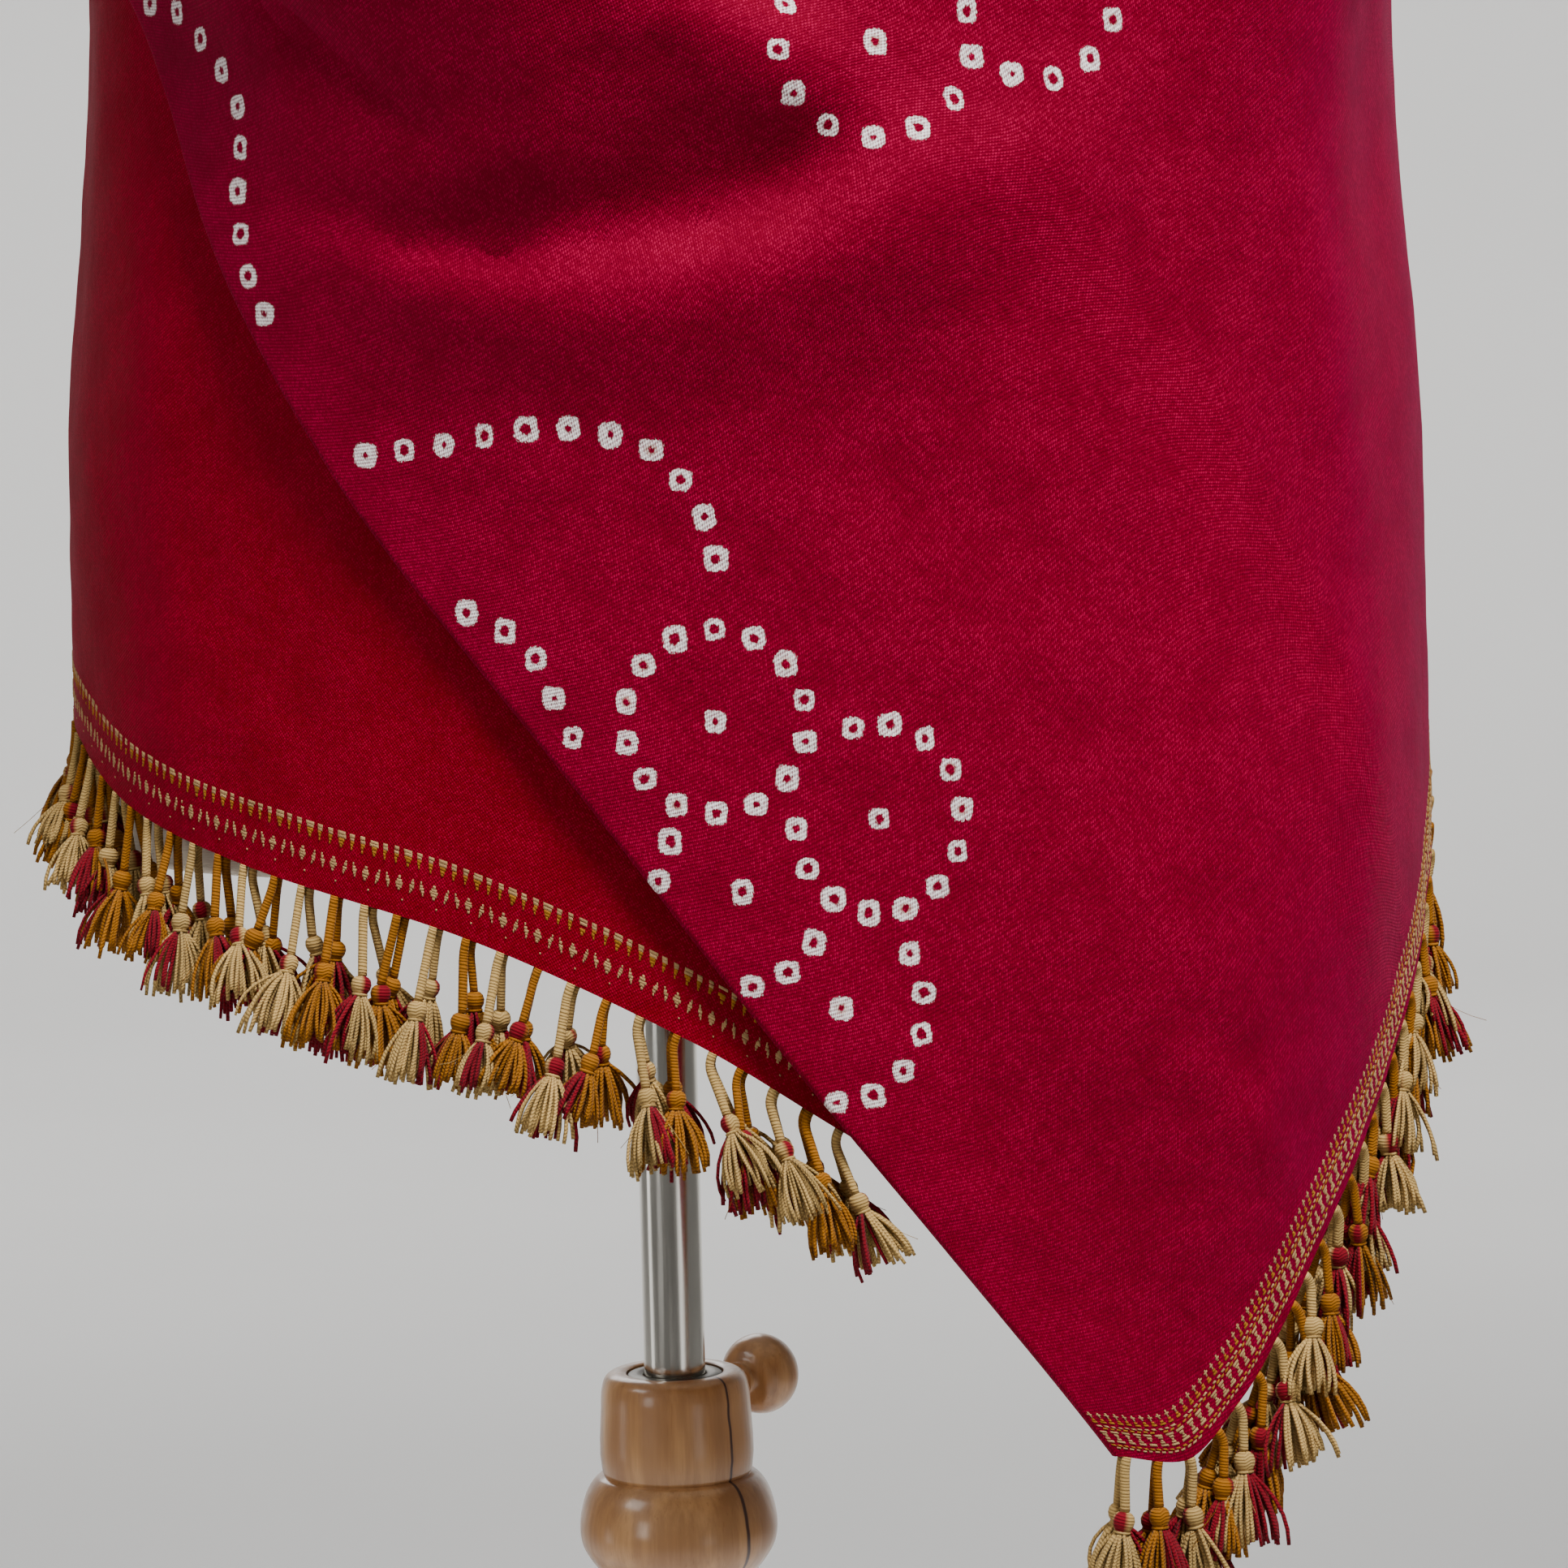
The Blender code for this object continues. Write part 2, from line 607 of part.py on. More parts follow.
def makeLegs(material, collection, cutters):
    """Four curved legs, hollowed at the top to sit round the leg block."""
    bpy.ops.mesh.primitive_cylinder_add(vertices=roundSides, radius=legBlockRadius + seamGap, depth=0.20,
                                        location=(0, 0, 0.225))
    seat = bpy.context.object
    seat.name = "leg_seat_cutter"
    seat.rotation_euler = (0, 0, math.radians(90))
    moveToCollection(seat, cutters)
    hideCutter(seat)
    xs = [0.016, 0.036, 0.049, 0.062, 0.077, 0.092, 0.107, 0.122, 0.137, 0.152, 0.167, 0.182, 0.197, 0.212,
          0.227, 0.242, 0.258, 0.282, 0.294]
    upper = [(x, readTable(legOutline, "x", x)["top"]) for x in xs]
    lower = [(x, readTable(legOutline, "x", x)["bottom"]) for x in xs]
    outline = upper + lower[::-1]
    legs = []
    for number, azimuth in enumerate(legAzimuths, 1):
        form = bmesh.new()
        corners = [form.verts.new((x, -legThickness / 2, z)) for x, z in outline]
        face = form.faces.new(corners)
        grown = bmesh.ops.extrude_face_region(form, geom=[face])
        moved = [v for v in grown["geom"] if isinstance(v, bmesh.types.BMVert)]
        bmesh.ops.translate(form, verts=moved, vec=(0, legThickness, 0))
        bmesh.ops.recalc_face_normals(form, faces=form.faces)
        mesh = bpy.data.meshes.new(f"leg_{number}")
        form.to_mesh(mesh)
        form.free()
        leg = addObject(f"leg_{number}", mesh, material, collection)
        leg.rotation_euler = (0, 0, math.radians(azimuth))
        soften = leg.modifiers.new("Rounded edges", "BEVEL")
        soften.width = legRounding
        soften.segments = 1
        soften.angle_limit = math.radians(50)
        cut = leg.modifiers.new("Seat on the post", "BOOLEAN")
        cut.operation = "DIFFERENCE"
        cut.object = seat
        legs.append(leg)
    return legs


def moveToCollection(thing, collection):
    for old in list(thing.users_collection):
        old.objects.unlink(thing)
    collection.objects.link(thing)


def hideCutter(thing):
    thing.hide_render = True
    thing.display_type = "WIRE"


def build():
    for thing in list(bpy.data.objects):
        bpy.data.objects.remove(thing, do_unlink=True)
    shawl = bpy.data.collections.new("Shawl on dress form")
    cutters = bpy.data.collections.new("Cutters")
    bpy.context.scene.collection.children.link(shawl)
    bpy.context.scene.collection.children.link(cutters)

    wool = makeMaterial("Crimson wool", (0.45, 0.010, 0.095), 0.85)
    woolUnder = makeMaterial("Crimson wool, reverse", (0.36, 0.008, 0.055), 0.85)
    tassel = makeMaterial("Tassel yarn", (0.62, 0.36, 0.10), 0.90)
    cover = makeMaterial("Cream cover", (0.72, 0.66, 0.56), 0.90)
    wood = makeMaterial("Varnished wood", (0.52, 0.33, 0.17), 0.35)
    chrome = makeMaterial("Polished metal", (0.80, 0.80, 0.80), 0.15, 1.0)
    steel = makeMaterial("Steel", (0.55, 0.55, 0.55), 0.35, 1.0)

    joinTrim = 0.0004
    makeStretch("shawl_under", underStretch, (0.0, joinTrim), woolUnder, shawl)
    makeStretch("shawl_back", backStretch, (joinTrim, joinTrim), wool, shawl)
    makeStretch("shawl_over", overStretch, (joinTrim, 0.0), wool, shawl)
    outerPly, innerPly = wallThickness - plyThickness / 2, plyThickness / 2
    for name, stretch, atStart in (("fringe_under", underStretch, True), ("fringe_over", overStretch, False)):
        front = (outerPly, tasselsOnFrontPly, 0.3, outerLean)
        rear = (innerPly, tasselsOnRearPly, 0.4, innerLean)
        makeFringe(f"{name}_front", stretch, atStart, *front, tassel, shawl)
        makeFringe(f"{name}_rear", stretch, atStart, *rear, tassel, shawl)

    makeForm("torso", cover, shawl)
    makeNeckCap(wood, shawl)
    makeFlange(steel, shawl)
    makePole(chrome, shawl)
    makePost(wood, shawl, cutters)
    makeKnob(wood, steel, shawl)
    makeLegs(wood, shawl, cutters)


build()
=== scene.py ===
import math
import random
from functools import partial, reduce

import bpy
import numpy as np
from mathutils import Matrix, Vector
from mathutils.bvhtree import BVHTree
from mathutils.kdtree import KDTree


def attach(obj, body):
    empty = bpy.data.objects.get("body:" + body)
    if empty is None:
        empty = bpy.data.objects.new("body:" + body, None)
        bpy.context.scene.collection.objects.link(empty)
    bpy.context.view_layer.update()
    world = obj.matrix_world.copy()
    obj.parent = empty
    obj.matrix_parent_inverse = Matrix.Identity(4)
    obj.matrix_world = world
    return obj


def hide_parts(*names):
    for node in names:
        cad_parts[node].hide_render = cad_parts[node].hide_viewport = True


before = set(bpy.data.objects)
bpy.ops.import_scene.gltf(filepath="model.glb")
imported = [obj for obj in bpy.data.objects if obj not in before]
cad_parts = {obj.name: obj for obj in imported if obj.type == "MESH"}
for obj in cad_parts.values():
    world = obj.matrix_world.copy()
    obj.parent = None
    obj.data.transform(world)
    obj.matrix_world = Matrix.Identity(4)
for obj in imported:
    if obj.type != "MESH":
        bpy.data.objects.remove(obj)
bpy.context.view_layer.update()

print("frame loaded")

# Metres, +Z up, the origin on the floor under the pole, the front faces -Y.
# Angles round the form are in degrees: 0 is the front, 90 the side at +X. Each turn of the wrap adds 360.


# Objects and meshes

def clearSelection():
    if bpy.context.mode != "OBJECT":
        bpy.ops.object.mode_set(mode="OBJECT")
    bpy.ops.object.select_all(action="DESELECT")


def pick(thing):
    clearSelection()
    thing.select_set(True)
    bpy.context.view_layer.objects.active = thing


def applyModifiers(thing):
    pick(thing)
    for modifier in list(thing.modifiers):
        bpy.ops.object.modifier_apply(modifier=modifier.name)


def smoothBelow(thing, degrees):
    pick(thing)
    bpy.ops.object.shade_smooth_by_angle(angle=math.radians(degrees))


def meshFrom(name, points, faceGroups, material):
    # each group of faces is an array with a row of point numbers for each face
    mesh = bpy.data.meshes.new(name)
    mesh.vertices.add(len(points))
    mesh.vertices.foreach_set("co", np.asarray(points, np.float32).ravel())
    sizes = np.concatenate([np.full(len(group), group.shape[1], np.int32) for group in faceGroups])
    corners = np.concatenate([group.astype(np.int32).ravel() for group in faceGroups])
    mesh.loops.add(len(corners))
    mesh.loops.foreach_set("vertex_index", corners)
    mesh.polygons.add(len(sizes))
    mesh.polygons.foreach_set("loop_start", np.concatenate([[0], np.cumsum(sizes)[:-1]]).astype(np.int32))
    mesh.update(calc_edges=True)
    thing = bpy.data.objects.new(name, mesh)
    bpy.context.scene.collection.objects.link(thing)
    mesh.materials.append(material)
    mesh.shade_smooth()
    return thing


def gridFaces(rows, columns, closed=False):
    # the quads of a rows by columns grid of points, closed round its columns for a tube
    i, j = np.meshgrid(np.arange(rows - 1), np.arange(columns if closed else columns - 1), indexing="ij")
    k = (j + 1) % columns
    return np.stack([i * columns + j, i * columns + k, (i + 1) * columns + k, (i + 1) * columns + j],
                    axis=-1).reshape(-1, 4)


def setAttribute(thing, name, kind, domain, values):
    layer = thing.data.attributes.new(name, kind, domain)
    part = "color" if kind == "FLOAT_COLOR" else "vector"
    layer.data.foreach_set(part, np.asarray(values, np.float32).ravel())


def setTints(thing, tints):
    # one opaque colour for each point, which the yarn material reads
    opaque = np.concatenate([tints, np.ones((len(tints), 1))], axis=1)
    setAttribute(thing, "yarn", "FLOAT_COLOR", "POINT", opaque)


def setUV(thing, pointUV):
    # one UV for each point, copied to its corners
    corners = np.empty(len(thing.data.loops), np.int32)
    thing.data.loops.foreach_get("vertex_index", corners)
    layer = thing.data.uv_layers.new(name="cloth")
    layer.data.foreach_set("uv", np.asarray(pointUV, np.float32)[corners].ravel())


def triangles(thing):
    return sum(len(polygon.vertices) - 2 for polygon in thing.data.polygons)


def unit(vectors):
    return vectors / np.maximum(np.linalg.norm(vectors, axis=-1, keepdims=True), 1e-12)


def dotted(a, b):
    return np.sum(a * b, axis=-1, keepdims=True)


def spread(*runs):
    # places along a line: each run is (from, to, steps)
    places = [runs[0][0]]
    for low, high, steps in runs:
        places += [low + (high - low) * k / steps for k in range(1, steps + 1)]
    return np.array(places)


def table(columns, *rows):
    return dict(zip(columns.split(), np.array(rows, float).T))


def readColumn(rows, key, name, places):
    # a smooth curve through a table's column, which does not overshoot its rows
    xs, ys = rows[key], rows[name]
    places = np.clip(places, xs[0], xs[-1])
    slopes = np.diff(ys) / np.diff(xs)
    before, after = slopes[:-1], slopes[1:]
    together = np.where(before + after == 0, 1, before + after)
    inner = np.where(before * after > 0, 2 * before * after / together, 0)
    tangents = np.concatenate([slopes[:1], inner, slopes[-1:]])
    i = np.clip(np.searchsorted(xs, places, side="right") - 1, 0, len(xs) - 2)
    span = xs[i + 1] - xs[i]
    u = (places - xs[i]) / span
    return (ys[i] * (2 * u**3 - 3 * u**2 + 1) + tangents[i] * span * (u**3 - 2 * u**2 + u)
            + ys[i + 1] * (3 * u**2 - 2 * u**3) + tangents[i + 1] * span * (u**3 - u**2))


# Shader nodes

def addNode(tree, kind, settings=None, inputs=None):
    made = tree.nodes.new("ShaderNode" + kind)
    for name, value in (settings or {}).items():
        setattr(made, name, value)
    for name, value in (inputs or {}).items():
        if isinstance(value, bpy.types.NodeSocket):
            tree.links.new(value, made.inputs[name])
        else:
            made.inputs[name].default_value = value
    return made


def treeOf(*values):
    return next(value.id_data for value in values if isinstance(value, bpy.types.NodeSocket))


def calc(operation, *values):
    return addNode(treeOf(*values), "Math", {"operation": operation}, dict(enumerate(values))).outputs[0]


def plus(*values):
    return reduce(partial(calc, "ADD"), values)


def times(*values):
    return reduce(partial(calc, "MULTIPLY"), values)


def minus(value, less):
    return calc("SUBTRACT", value, less)


def weighed(*parts):
    # the sum of values, each times its weight
    return plus(*(times(value, weight) for value, weight in parts))


def mixColours(share, first, second, blend="MIX"):
    settings = {"data_type": "RGBA", "blend_type": blend}
    tree = treeOf(share, first, second)
    return addNode(tree, "Mix", settings, {0: share, 6: first, 7: second}).outputs[2]


def ramp(value, low, high, toLow=0.0, toHigh=1.0):
    inputs = {0: value, 1: low, 2: high, 3: toLow, 4: toHigh}
    return addNode(value.id_data, "MapRange", {"interpolation_type": "SMOOTHSTEP"}, inputs).outputs[0]


def noise(place, scale, detail=3.0, roughness=0.55):
    inputs = {"Vector": place, "Scale": scale, "Detail": detail, "Roughness": roughness}
    return addNode(place.id_data, "TexNoise", {}, inputs).outputs[0]


def mapping(place, scale):
    return addNode(place.id_data, "Mapping", {}, {"Vector": place, "Scale": scale}).outputs[0]


def joined(x, y):
    return addNode(treeOf(x, y), "CombineXYZ", {}, {0: x, 1: y}).outputs[0]


def partsOf(vector):
    return addNode(vector.id_data, "SeparateXYZ", {}, {0: vector}).outputs


def objectPlace(tree):
    return addNode(tree, "TexCoord").outputs["Object"]


def wovenPlace(tree):
    return addNode(tree, "UVMap", {"uv_map": "cloth"}).outputs[0]


def attribute(tree, name, output):
    return addNode(tree, "Attribute", {"attribute_name": name}).outputs[output]


def newMaterial(name, roughness, metallic=0.0, **others):
    material = bpy.data.materials.new(name)
    material.use_nodes = True
    tree = material.node_tree
    shader = tree.nodes["Principled BSDF"]
    shader.inputs["Roughness"].default_value = roughness
    shader.inputs["Metallic"].default_value = metallic
    for socket, value in others.items():
        shader.inputs[socket.replace("_", " ")].default_value = value
    return material, tree, shader


def addBump(shader, height, distance, strength=1.0):
    inputs = {"Height": height, "Distance": distance, "Strength": strength}
    bump = addNode(height.id_data, "Bump", {}, inputs)
    height.id_data.links.new(bump.outputs[0], shader.inputs["Normal"])


# Camera, at the photograph's angle, and the light

cameraView = {"place": (0.0385, -1.3751, 0.8994), "pitchDown": 4.3, "roll": 1.43, "lens": 102.8}


def makeCamera():
    data = bpy.data.cameras.new("View")
    data.lens = cameraView["lens"]
    data.sensor_width = 36.0
    camera = bpy.data.objects.new("View", data)
    bpy.context.scene.collection.objects.link(camera)
    turn = Matrix.Rotation(math.radians(90 - cameraView["pitchDown"]), 4, "X")
    roll = Matrix.Rotation(math.radians(-cameraView["roll"]), 4, "Z")
    camera.matrix_world = Matrix.Translation(cameraView["place"]) @ turn @ roll
    bpy.context.scene.camera = camera


# Place, aim, size, spread in degrees and power of each. The last two are narrow, for the pole's bright bands.
softboxes = {
    "key": ((0.86, -1.42, 3.45), (0.03, 0, 0.85), (0.9, 0.9), 80, 41),
    "fill": ((-2.4, -1.2, 2.75), (0.0, 0, 0.85), (1.3, 1.3), 90, 7.6),
    "low": ((-1.3, -1.5, 0.80), (0.02, 0, 0.60), (0.5, 0.5), 70, 0.5),
    "back": ((-0.6, 2.6, 2.2), (0.03, 0, 0.9), (1.4, 1.4), 110, 8),
    "wallLeft": ((-2.2, 2.6, 3.4), (-1.2, 6.6, 0.9), (1.6, 1.6), 140, 92),
    "wallRight": ((2.2, 2.6, 3.4), (1.2, 6.6, 0.9), (1.6, 1.6), 140, 92),
    "poleLeft": ((-1.44, -0.08, 0.42), (0.0, 0, 0.68), (0.34, 0.4), 30, 0.018),
    "poleRight": ((0.86, -1.22, 0.42), (0.0, 0, 0.68), (0.50, 0.4), 30, 0.023),
}
studioLight = {"colour": (0.86, 0.87, 0.88, 1), "strength": 0.10}


def makeLights():
    for name, (place, aim, size, spreadAngle, power) in softboxes.items():
        data = bpy.data.lights.new(name, "AREA")
        data.shape = "RECTANGLE"
        data.size, data.size_y = size
        data.spread = math.radians(spreadAngle)
        data.energy = power
        light = bpy.data.objects.new(name, data)
        bpy.context.scene.collection.objects.link(light)
        light.location = place
        light.rotation_euler = (Vector(aim) - Vector(place)).to_track_quat("-Z", "Y").to_euler()
    world = bpy.data.worlds.new("Studio")
    world.use_nodes = True
    background = world.node_tree.nodes["Background"]
    background.inputs["Color"].default_value = studioLight["colour"]
    background.inputs["Strength"].default_value = studioLight["strength"]
    bpy.context.scene.world = world


# Turned pieces: a circle, extruded and resized along its profile

smallestRadius = 0.0001


def roundedOutline(profile, steps):
    # a smooth outline through (radius, height) points. A point given as (radius, height, 0) is a corner.
    points = [np.array(point[:2]) for point in profile]
    corner = [len(point) == 3 for point in profile]
    found = [points[0]]
    for k in range(len(points) - 1):
        a, b = points[k], points[k + 1]
        length = np.linalg.norm(b - a)
        before = a - (b - a) if k == 0 or corner[k] else points[k - 1]
        after = b + (b - a) if k + 2 == len(points) or corner[k + 1] else points[k + 2]
        leaving = unit(unit(b - a) + unit(a - before)) * length
        arriving = unit(unit(b - a) + unit(after - b)) * length
        for i in range(1, steps + 1):
            u = i / steps
            found.append(a * (2 * u**3 - 3 * u**2 + 1) + leaving * (u**3 - 2 * u**2 + u)
                         + b * (3 * u**2 - 2 * u**3) + arriving * (u**3 - u**2))
    return found


def extrudeRings(outline):
    # from the ring of edges that is selected, at the outline's first radius and height
    radius, height = outline[0]
    for newRadius, newHeight in outline[1:]:
        bpy.ops.mesh.extrude_edges_move(TRANSFORM_OT_translate={"value": (0, 0, newHeight - height)})
        share = max(newRadius, smallestRadius) / max(radius, smallestRadius)
        bpy.ops.transform.resize(value=(share, share, 1), center_override=(0, 0, newHeight))
        radius, height = newRadius, newHeight


def turnPiece(name, profile, material, sides=96, steps=5, smooth=35, place=None):
    # place moves the finished piece, which is turned about Z, to where it belongs
    outline = roundedOutline(profile, steps)
    clearSelection()
    radius, height = outline[0]
    first = max(radius, smallestRadius)
    bpy.ops.mesh.primitive_circle_add(vertices=sides, radius=first, location=(0, 0, height))
    thing = bpy.context.object
    thing.name = thing.data.name = name
    bpy.ops.object.transform_apply(location=True)
    bpy.ops.object.mode_set(mode="EDIT")
    bpy.ops.mesh.select_all(action="SELECT")
    extrudeRings(outline)
    bpy.ops.mesh.select_all(action="SELECT")
    bpy.ops.mesh.remove_doubles(threshold=1e-6)
    bpy.ops.mesh.fill_holes(sides=0)
    bpy.ops.mesh.normals_make_consistent(inside=False)
    bpy.ops.object.mode_set(mode="OBJECT")
    if place is not None:
        thing.matrix_world = place
        bpy.ops.object.transform_apply(location=True, rotation=True)
    thing.data.materials.append(material)
    smoothBelow(thing, smooth)
    return thing


# The drape, from the same sizes as the solids

wallThickness = 0.003
layerPitch = 0.0070
wrapStart = -153.0
shoulderJoin = 75.0
sideJoin = 270.0
wrapEnd = 500.0
neckLevel = 1.478
foldedWidth = 0.50
plyThickness = 0.0009
plyReach = (wallThickness - plyThickness) / 2   # from the middle of the wall to the middle of each ply

drapeRings = table(
    "level zFront zSide halfWidth depthFront depthBack centre",
    (0.550, 0.550, 0.550, 0.1990, 0.143, 0.128, 0.0247),
    (0.800, 0.800, 0.800, 0.1979, 0.143, 0.128, 0.0242),
    (0.920, 0.920, 0.920, 0.1952, 0.143, 0.128, 0.0242),
    (1.040, 1.040, 1.040, 0.1862, 0.141, 0.127, 0.0242),
    (1.160, 1.160, 1.160, 0.1860, 0.136, 0.123, 0.0220),
    (1.260, 1.258, 1.256, 0.1880, 0.124, 0.119, 0.0120),
    (1.320, 1.314, 1.302, 0.1840, 0.110, 0.111, 0.0050),
    (1.370, 1.357, 1.338, 0.1600, 0.097, 0.100, 0.0000),
    (1.410, 1.388, 1.368, 0.1250, 0.087, 0.090, 0.0000),
    (1.450, 1.418, 1.400, 0.0920, 0.079, 0.081, 0.0000),
    (1.485, 1.447, 1.432, 0.0770, 0.072, 0.073, 0.0000),
)


def ringPlace(rings, sine, cosine, level, swell=1.0):
    # a place on a body given by its rings, whose front and back differ in depth and sides in height
    ring = {name: readColumn(rings, "level", name, level) for name in rings if name != "level"}
    depth = np.where(cosine > 0, ring["depthFront"], ring["depthBack"])
    height = ring["zFront"] + (ring["zSide"] - ring["zFront"]) * sine**2
    across = ring["halfWidth"] * sine * swell + ring.get("centre", 0.0)
    return np.stack([across, -depth * cosine * swell, height], axis=-1)


def drapePoint(angle, level):
    return ringPlace(drapeRings, np.sin(np.radians(angle)), np.cos(np.radians(angle)), level)


def drapeNormal(angle, level):
    alongTurn = drapePoint(angle + 0.5, level) - drapePoint(angle - 0.5, level)
    upward = drapePoint(angle, level + 0.004) - drapePoint(angle, level - 0.004)
    return unit(np.cross(alongTurn, upward))


# Folds: each is a ridge, or a trough where its height is below 0, along the places in its table. One with
# a power near 1 is sharp, and below is the share by which its lower side is wider.
foldColumns = "angle level width height"
unevenColumns = "angle level width height below"
overFolds = [
    table(unevenColumns, (-46, 0.958, 0.009, 0, 2.2), (-33, 0.956, 0.01, 0.0006, 2.6),
          (-23, 0.947, 0.009, 0.0014, 2.6), (-14, 0.9405, 0.011, 0.0016, 2.4),
          (-9, 0.941, 0.0125, 0.003, 2.4), (-4, 0.943, 0.014, 0.0046, 2.2), (5, 0.949, 0.016, 0.0058, 1.8),
          (14, 0.963, 0.024, 0.0086, 1.3), (24, 0.974, 0.023, 0.005, 1.2), (36, 0.985, 0.022, 0, 1.2)),
    table(unevenColumns, (-50, 0.968, 0.05, 0, 0.7), (-40, 0.965, 0.05, 0.0026, 0.7),
          (-30, 0.96, 0.05, 0.0052, 0.7), (-20, 0.954, 0.05, 0.0068, 0.66), (-10, 0.952, 0.05, 0.007, 0.64),
          (0, 0.954, 0.05, 0.0056, 0.62), (10, 0.962, 0.045, 0.003, 0.7), (20, 0.97, 0.04, 0, 0.8)),
    table(unevenColumns, (-46, 0.975, 0.009, 0, 0.8), (-40, 0.971, 0.009, -0.0005, 0.8),
          (-33, 0.9674, 0.0095, -0.0014, 0.75), (-28, 0.962, 0.011, -0.0028, 0.7),
          (-23, 0.9575, 0.012, -0.0044, 0.62), (-18, 0.9575, 0.013, -0.0062, 0.8),
          (-14, 0.958, 0.014, -0.007, 0.88), (-9, 0.959, 0.017, -0.007, 0.82),
          (-4, 0.9615, 0.02, -0.0064, 0.72), (1, 0.966, 0.017, -0.006, 0.78),
          (5, 0.9705, 0.015, -0.0054, 0.9), (9, 0.976, 0.013, -0.0026, 1), (13, 0.984, 0.012, 0, 1)),
    table(unevenColumns, (-64, 1.14, 0.024, 0, 1.6), (-45, 1.085, 0.028, 0.015, 1.9),
          (-33, 1.062, 0.03, 0.026, 1.9), (-23, 1.05, 0.03, 0.029, 2), (-14, 1.04, 0.03, 0.031, 2),
          (-8, 1.032, 0.026, 0.0265, 1.75), (-4, 1.024, 0.022, 0.02, 1.65), (1, 1.013, 0.018, 0.0142, 1.5),
          (5, 1.006, 0.016, 0.0104, 1.4), (9, 1.002, 0.015, 0.0056, 1.3), (14, 1.001, 0.014, 0.0012, 1.2),
          (20, 1.001, 0.014, 0, 1.2)),
    table(foldColumns, (-46, 1.042, 0.008, 0), (-38, 1.026, 0.009, -0.0045), (-33, 1.0155, 0.01, -0.0066),
          (-28, 1.003, 0.01, -0.0052), (-23, 0.99, 0.009, -0.0024), (-19, 0.979, 0.008, 0)) | {"power": 1.25},
    table(foldColumns, (36, 1.1, 0.07, 0), (46, 1.1, 0.085, 0.019), (58, 1.1, 0.085, 0.021),
          (70, 1.1, 0.08, 0.012), (84, 1.1, 0.07, 0)),
    table(foldColumns, (16, 0.77, 0.08, 0), (28, 0.765, 0.085, 0.008), (42, 0.765, 0.09, 0.0115),
          (54, 0.78, 0.09, 0.01), (66, 0.8, 0.08, 0.0035), (76, 0.8, 0.08, 0)),
    table(foldColumns, (-62, 1.19, 0.022, 0), (-40, 1.132, 0.023, 0.008), (-10, 1.098, 0.024, 0.0145),
          (12, 1.1, 0.024, 0.0125), (32, 1.132, 0.023, 0.006), (48, 1.178, 0.022, 0)),
    table(foldColumns, (-58, 1.126, 0.011, 0), (-38, 1.09, 0.012, -0.0022), (-12, 1.066, 0.012, -0.0038),
          (14, 1.06, 0.012, -0.003), (38, 1.09, 0.012, 0)),
    table(foldColumns, (-66, 1.262, 0.022, 0), (-44, 1.204, 0.022, 0.005), (-14, 1.168, 0.021, 0.0085),
          (10, 1.166, 0.022, 0.01), (30, 1.186, 0.022, 0.0055), (44, 1.23, 0.02, 0)),
    table(foldColumns, (-66, 1.222, 0.012, 0), (-34, 1.152, 0.013, -0.0026), (-8, 1.135, 0.014, -0.0042),
          (22, 1.146, 0.013, -0.0034), (48, 1.214, 0.012, 0)),
    table(foldColumns, (-78, 1.335, 0.026, 0), (-44, 1.264, 0.032, 0.012), (-12, 1.238, 0.034, 0.0175),
          (20, 1.252, 0.032, 0.014), (48, 1.304, 0.028, 0.0055), (62, 1.34, 0.024, 0)),
    table(foldColumns, (-32, 1.366, 0.018, 0), (-12, 1.342, 0.018, 0.006), (14, 1.332, 0.02, 0.0095),
          (38, 1.348, 0.02, 0.006), (62, 1.385, 0.018, 0)),
    table(foldColumns, (-80, 1.392, 0.016, 0), (-56, 1.356, 0.018, 0.0065), (-32, 1.334, 0.016, 0.005),
          (-14, 1.318, 0.014, 0)),
]
backFolds = [
    table(foldColumns, (96, 1.358, 0.022, 0), (126, 1.29, 0.03, 0.008), (160, 1.252, 0.033, 0.0135),
          (196, 1.24, 0.03, 0.011), (226, 1.264, 0.022, 0.004), (244, 1.3, 0.02, 0)),
    table(foldColumns, (140, 1.392, 0.016, 0), (168, 1.346, 0.018, 0.006), (200, 1.33, 0.022, 0.011),
          (230, 1.342, 0.023, 0.0085), (258, 1.4, 0.02, 0)),
    table(foldColumns, (136, 1.22, 0.018, 0), (164, 1.142, 0.02, 0.0055), (190, 1.114, 0.024, 0.01),
          (220, 1.13, 0.029, 0.009), (246, 1.192, 0.027, 0.0045), (262, 1.24, 0.024, 0)),
    table(foldColumns, (118, 1.292, 0.012, 0), (150, 1.212, 0.013, -0.003), (184, 1.185, 0.013, -0.0045),
          (222, 1.214, 0.013, -0.003), (254, 1.296, 0.012, 0)),
    table(foldColumns, (150, 1.395, 0.01, 0), (172, 1.3, 0.01, -0.0028), (190, 1.292, 0.011, -0.0036),
          (232, 1.34, 0.01, 0)),
    table(foldColumns, (176, 1.09, 0.012, 0), (190, 1.052, 0.013, 0.0022), (214, 1.066, 0.013, 0.0018),
          (240, 1.118, 0.012, 0)),
]
underFolds = [
    table(foldColumns, (-120, 1.06, 0.022, 0), (-90, 0.925, 0.024, 0.0012), (-70, 0.9, 0.024, 0.0012),
          (-40, 0.95, 0.024, 0.0008), (-20, 1.06, 0.022, 0)),
]

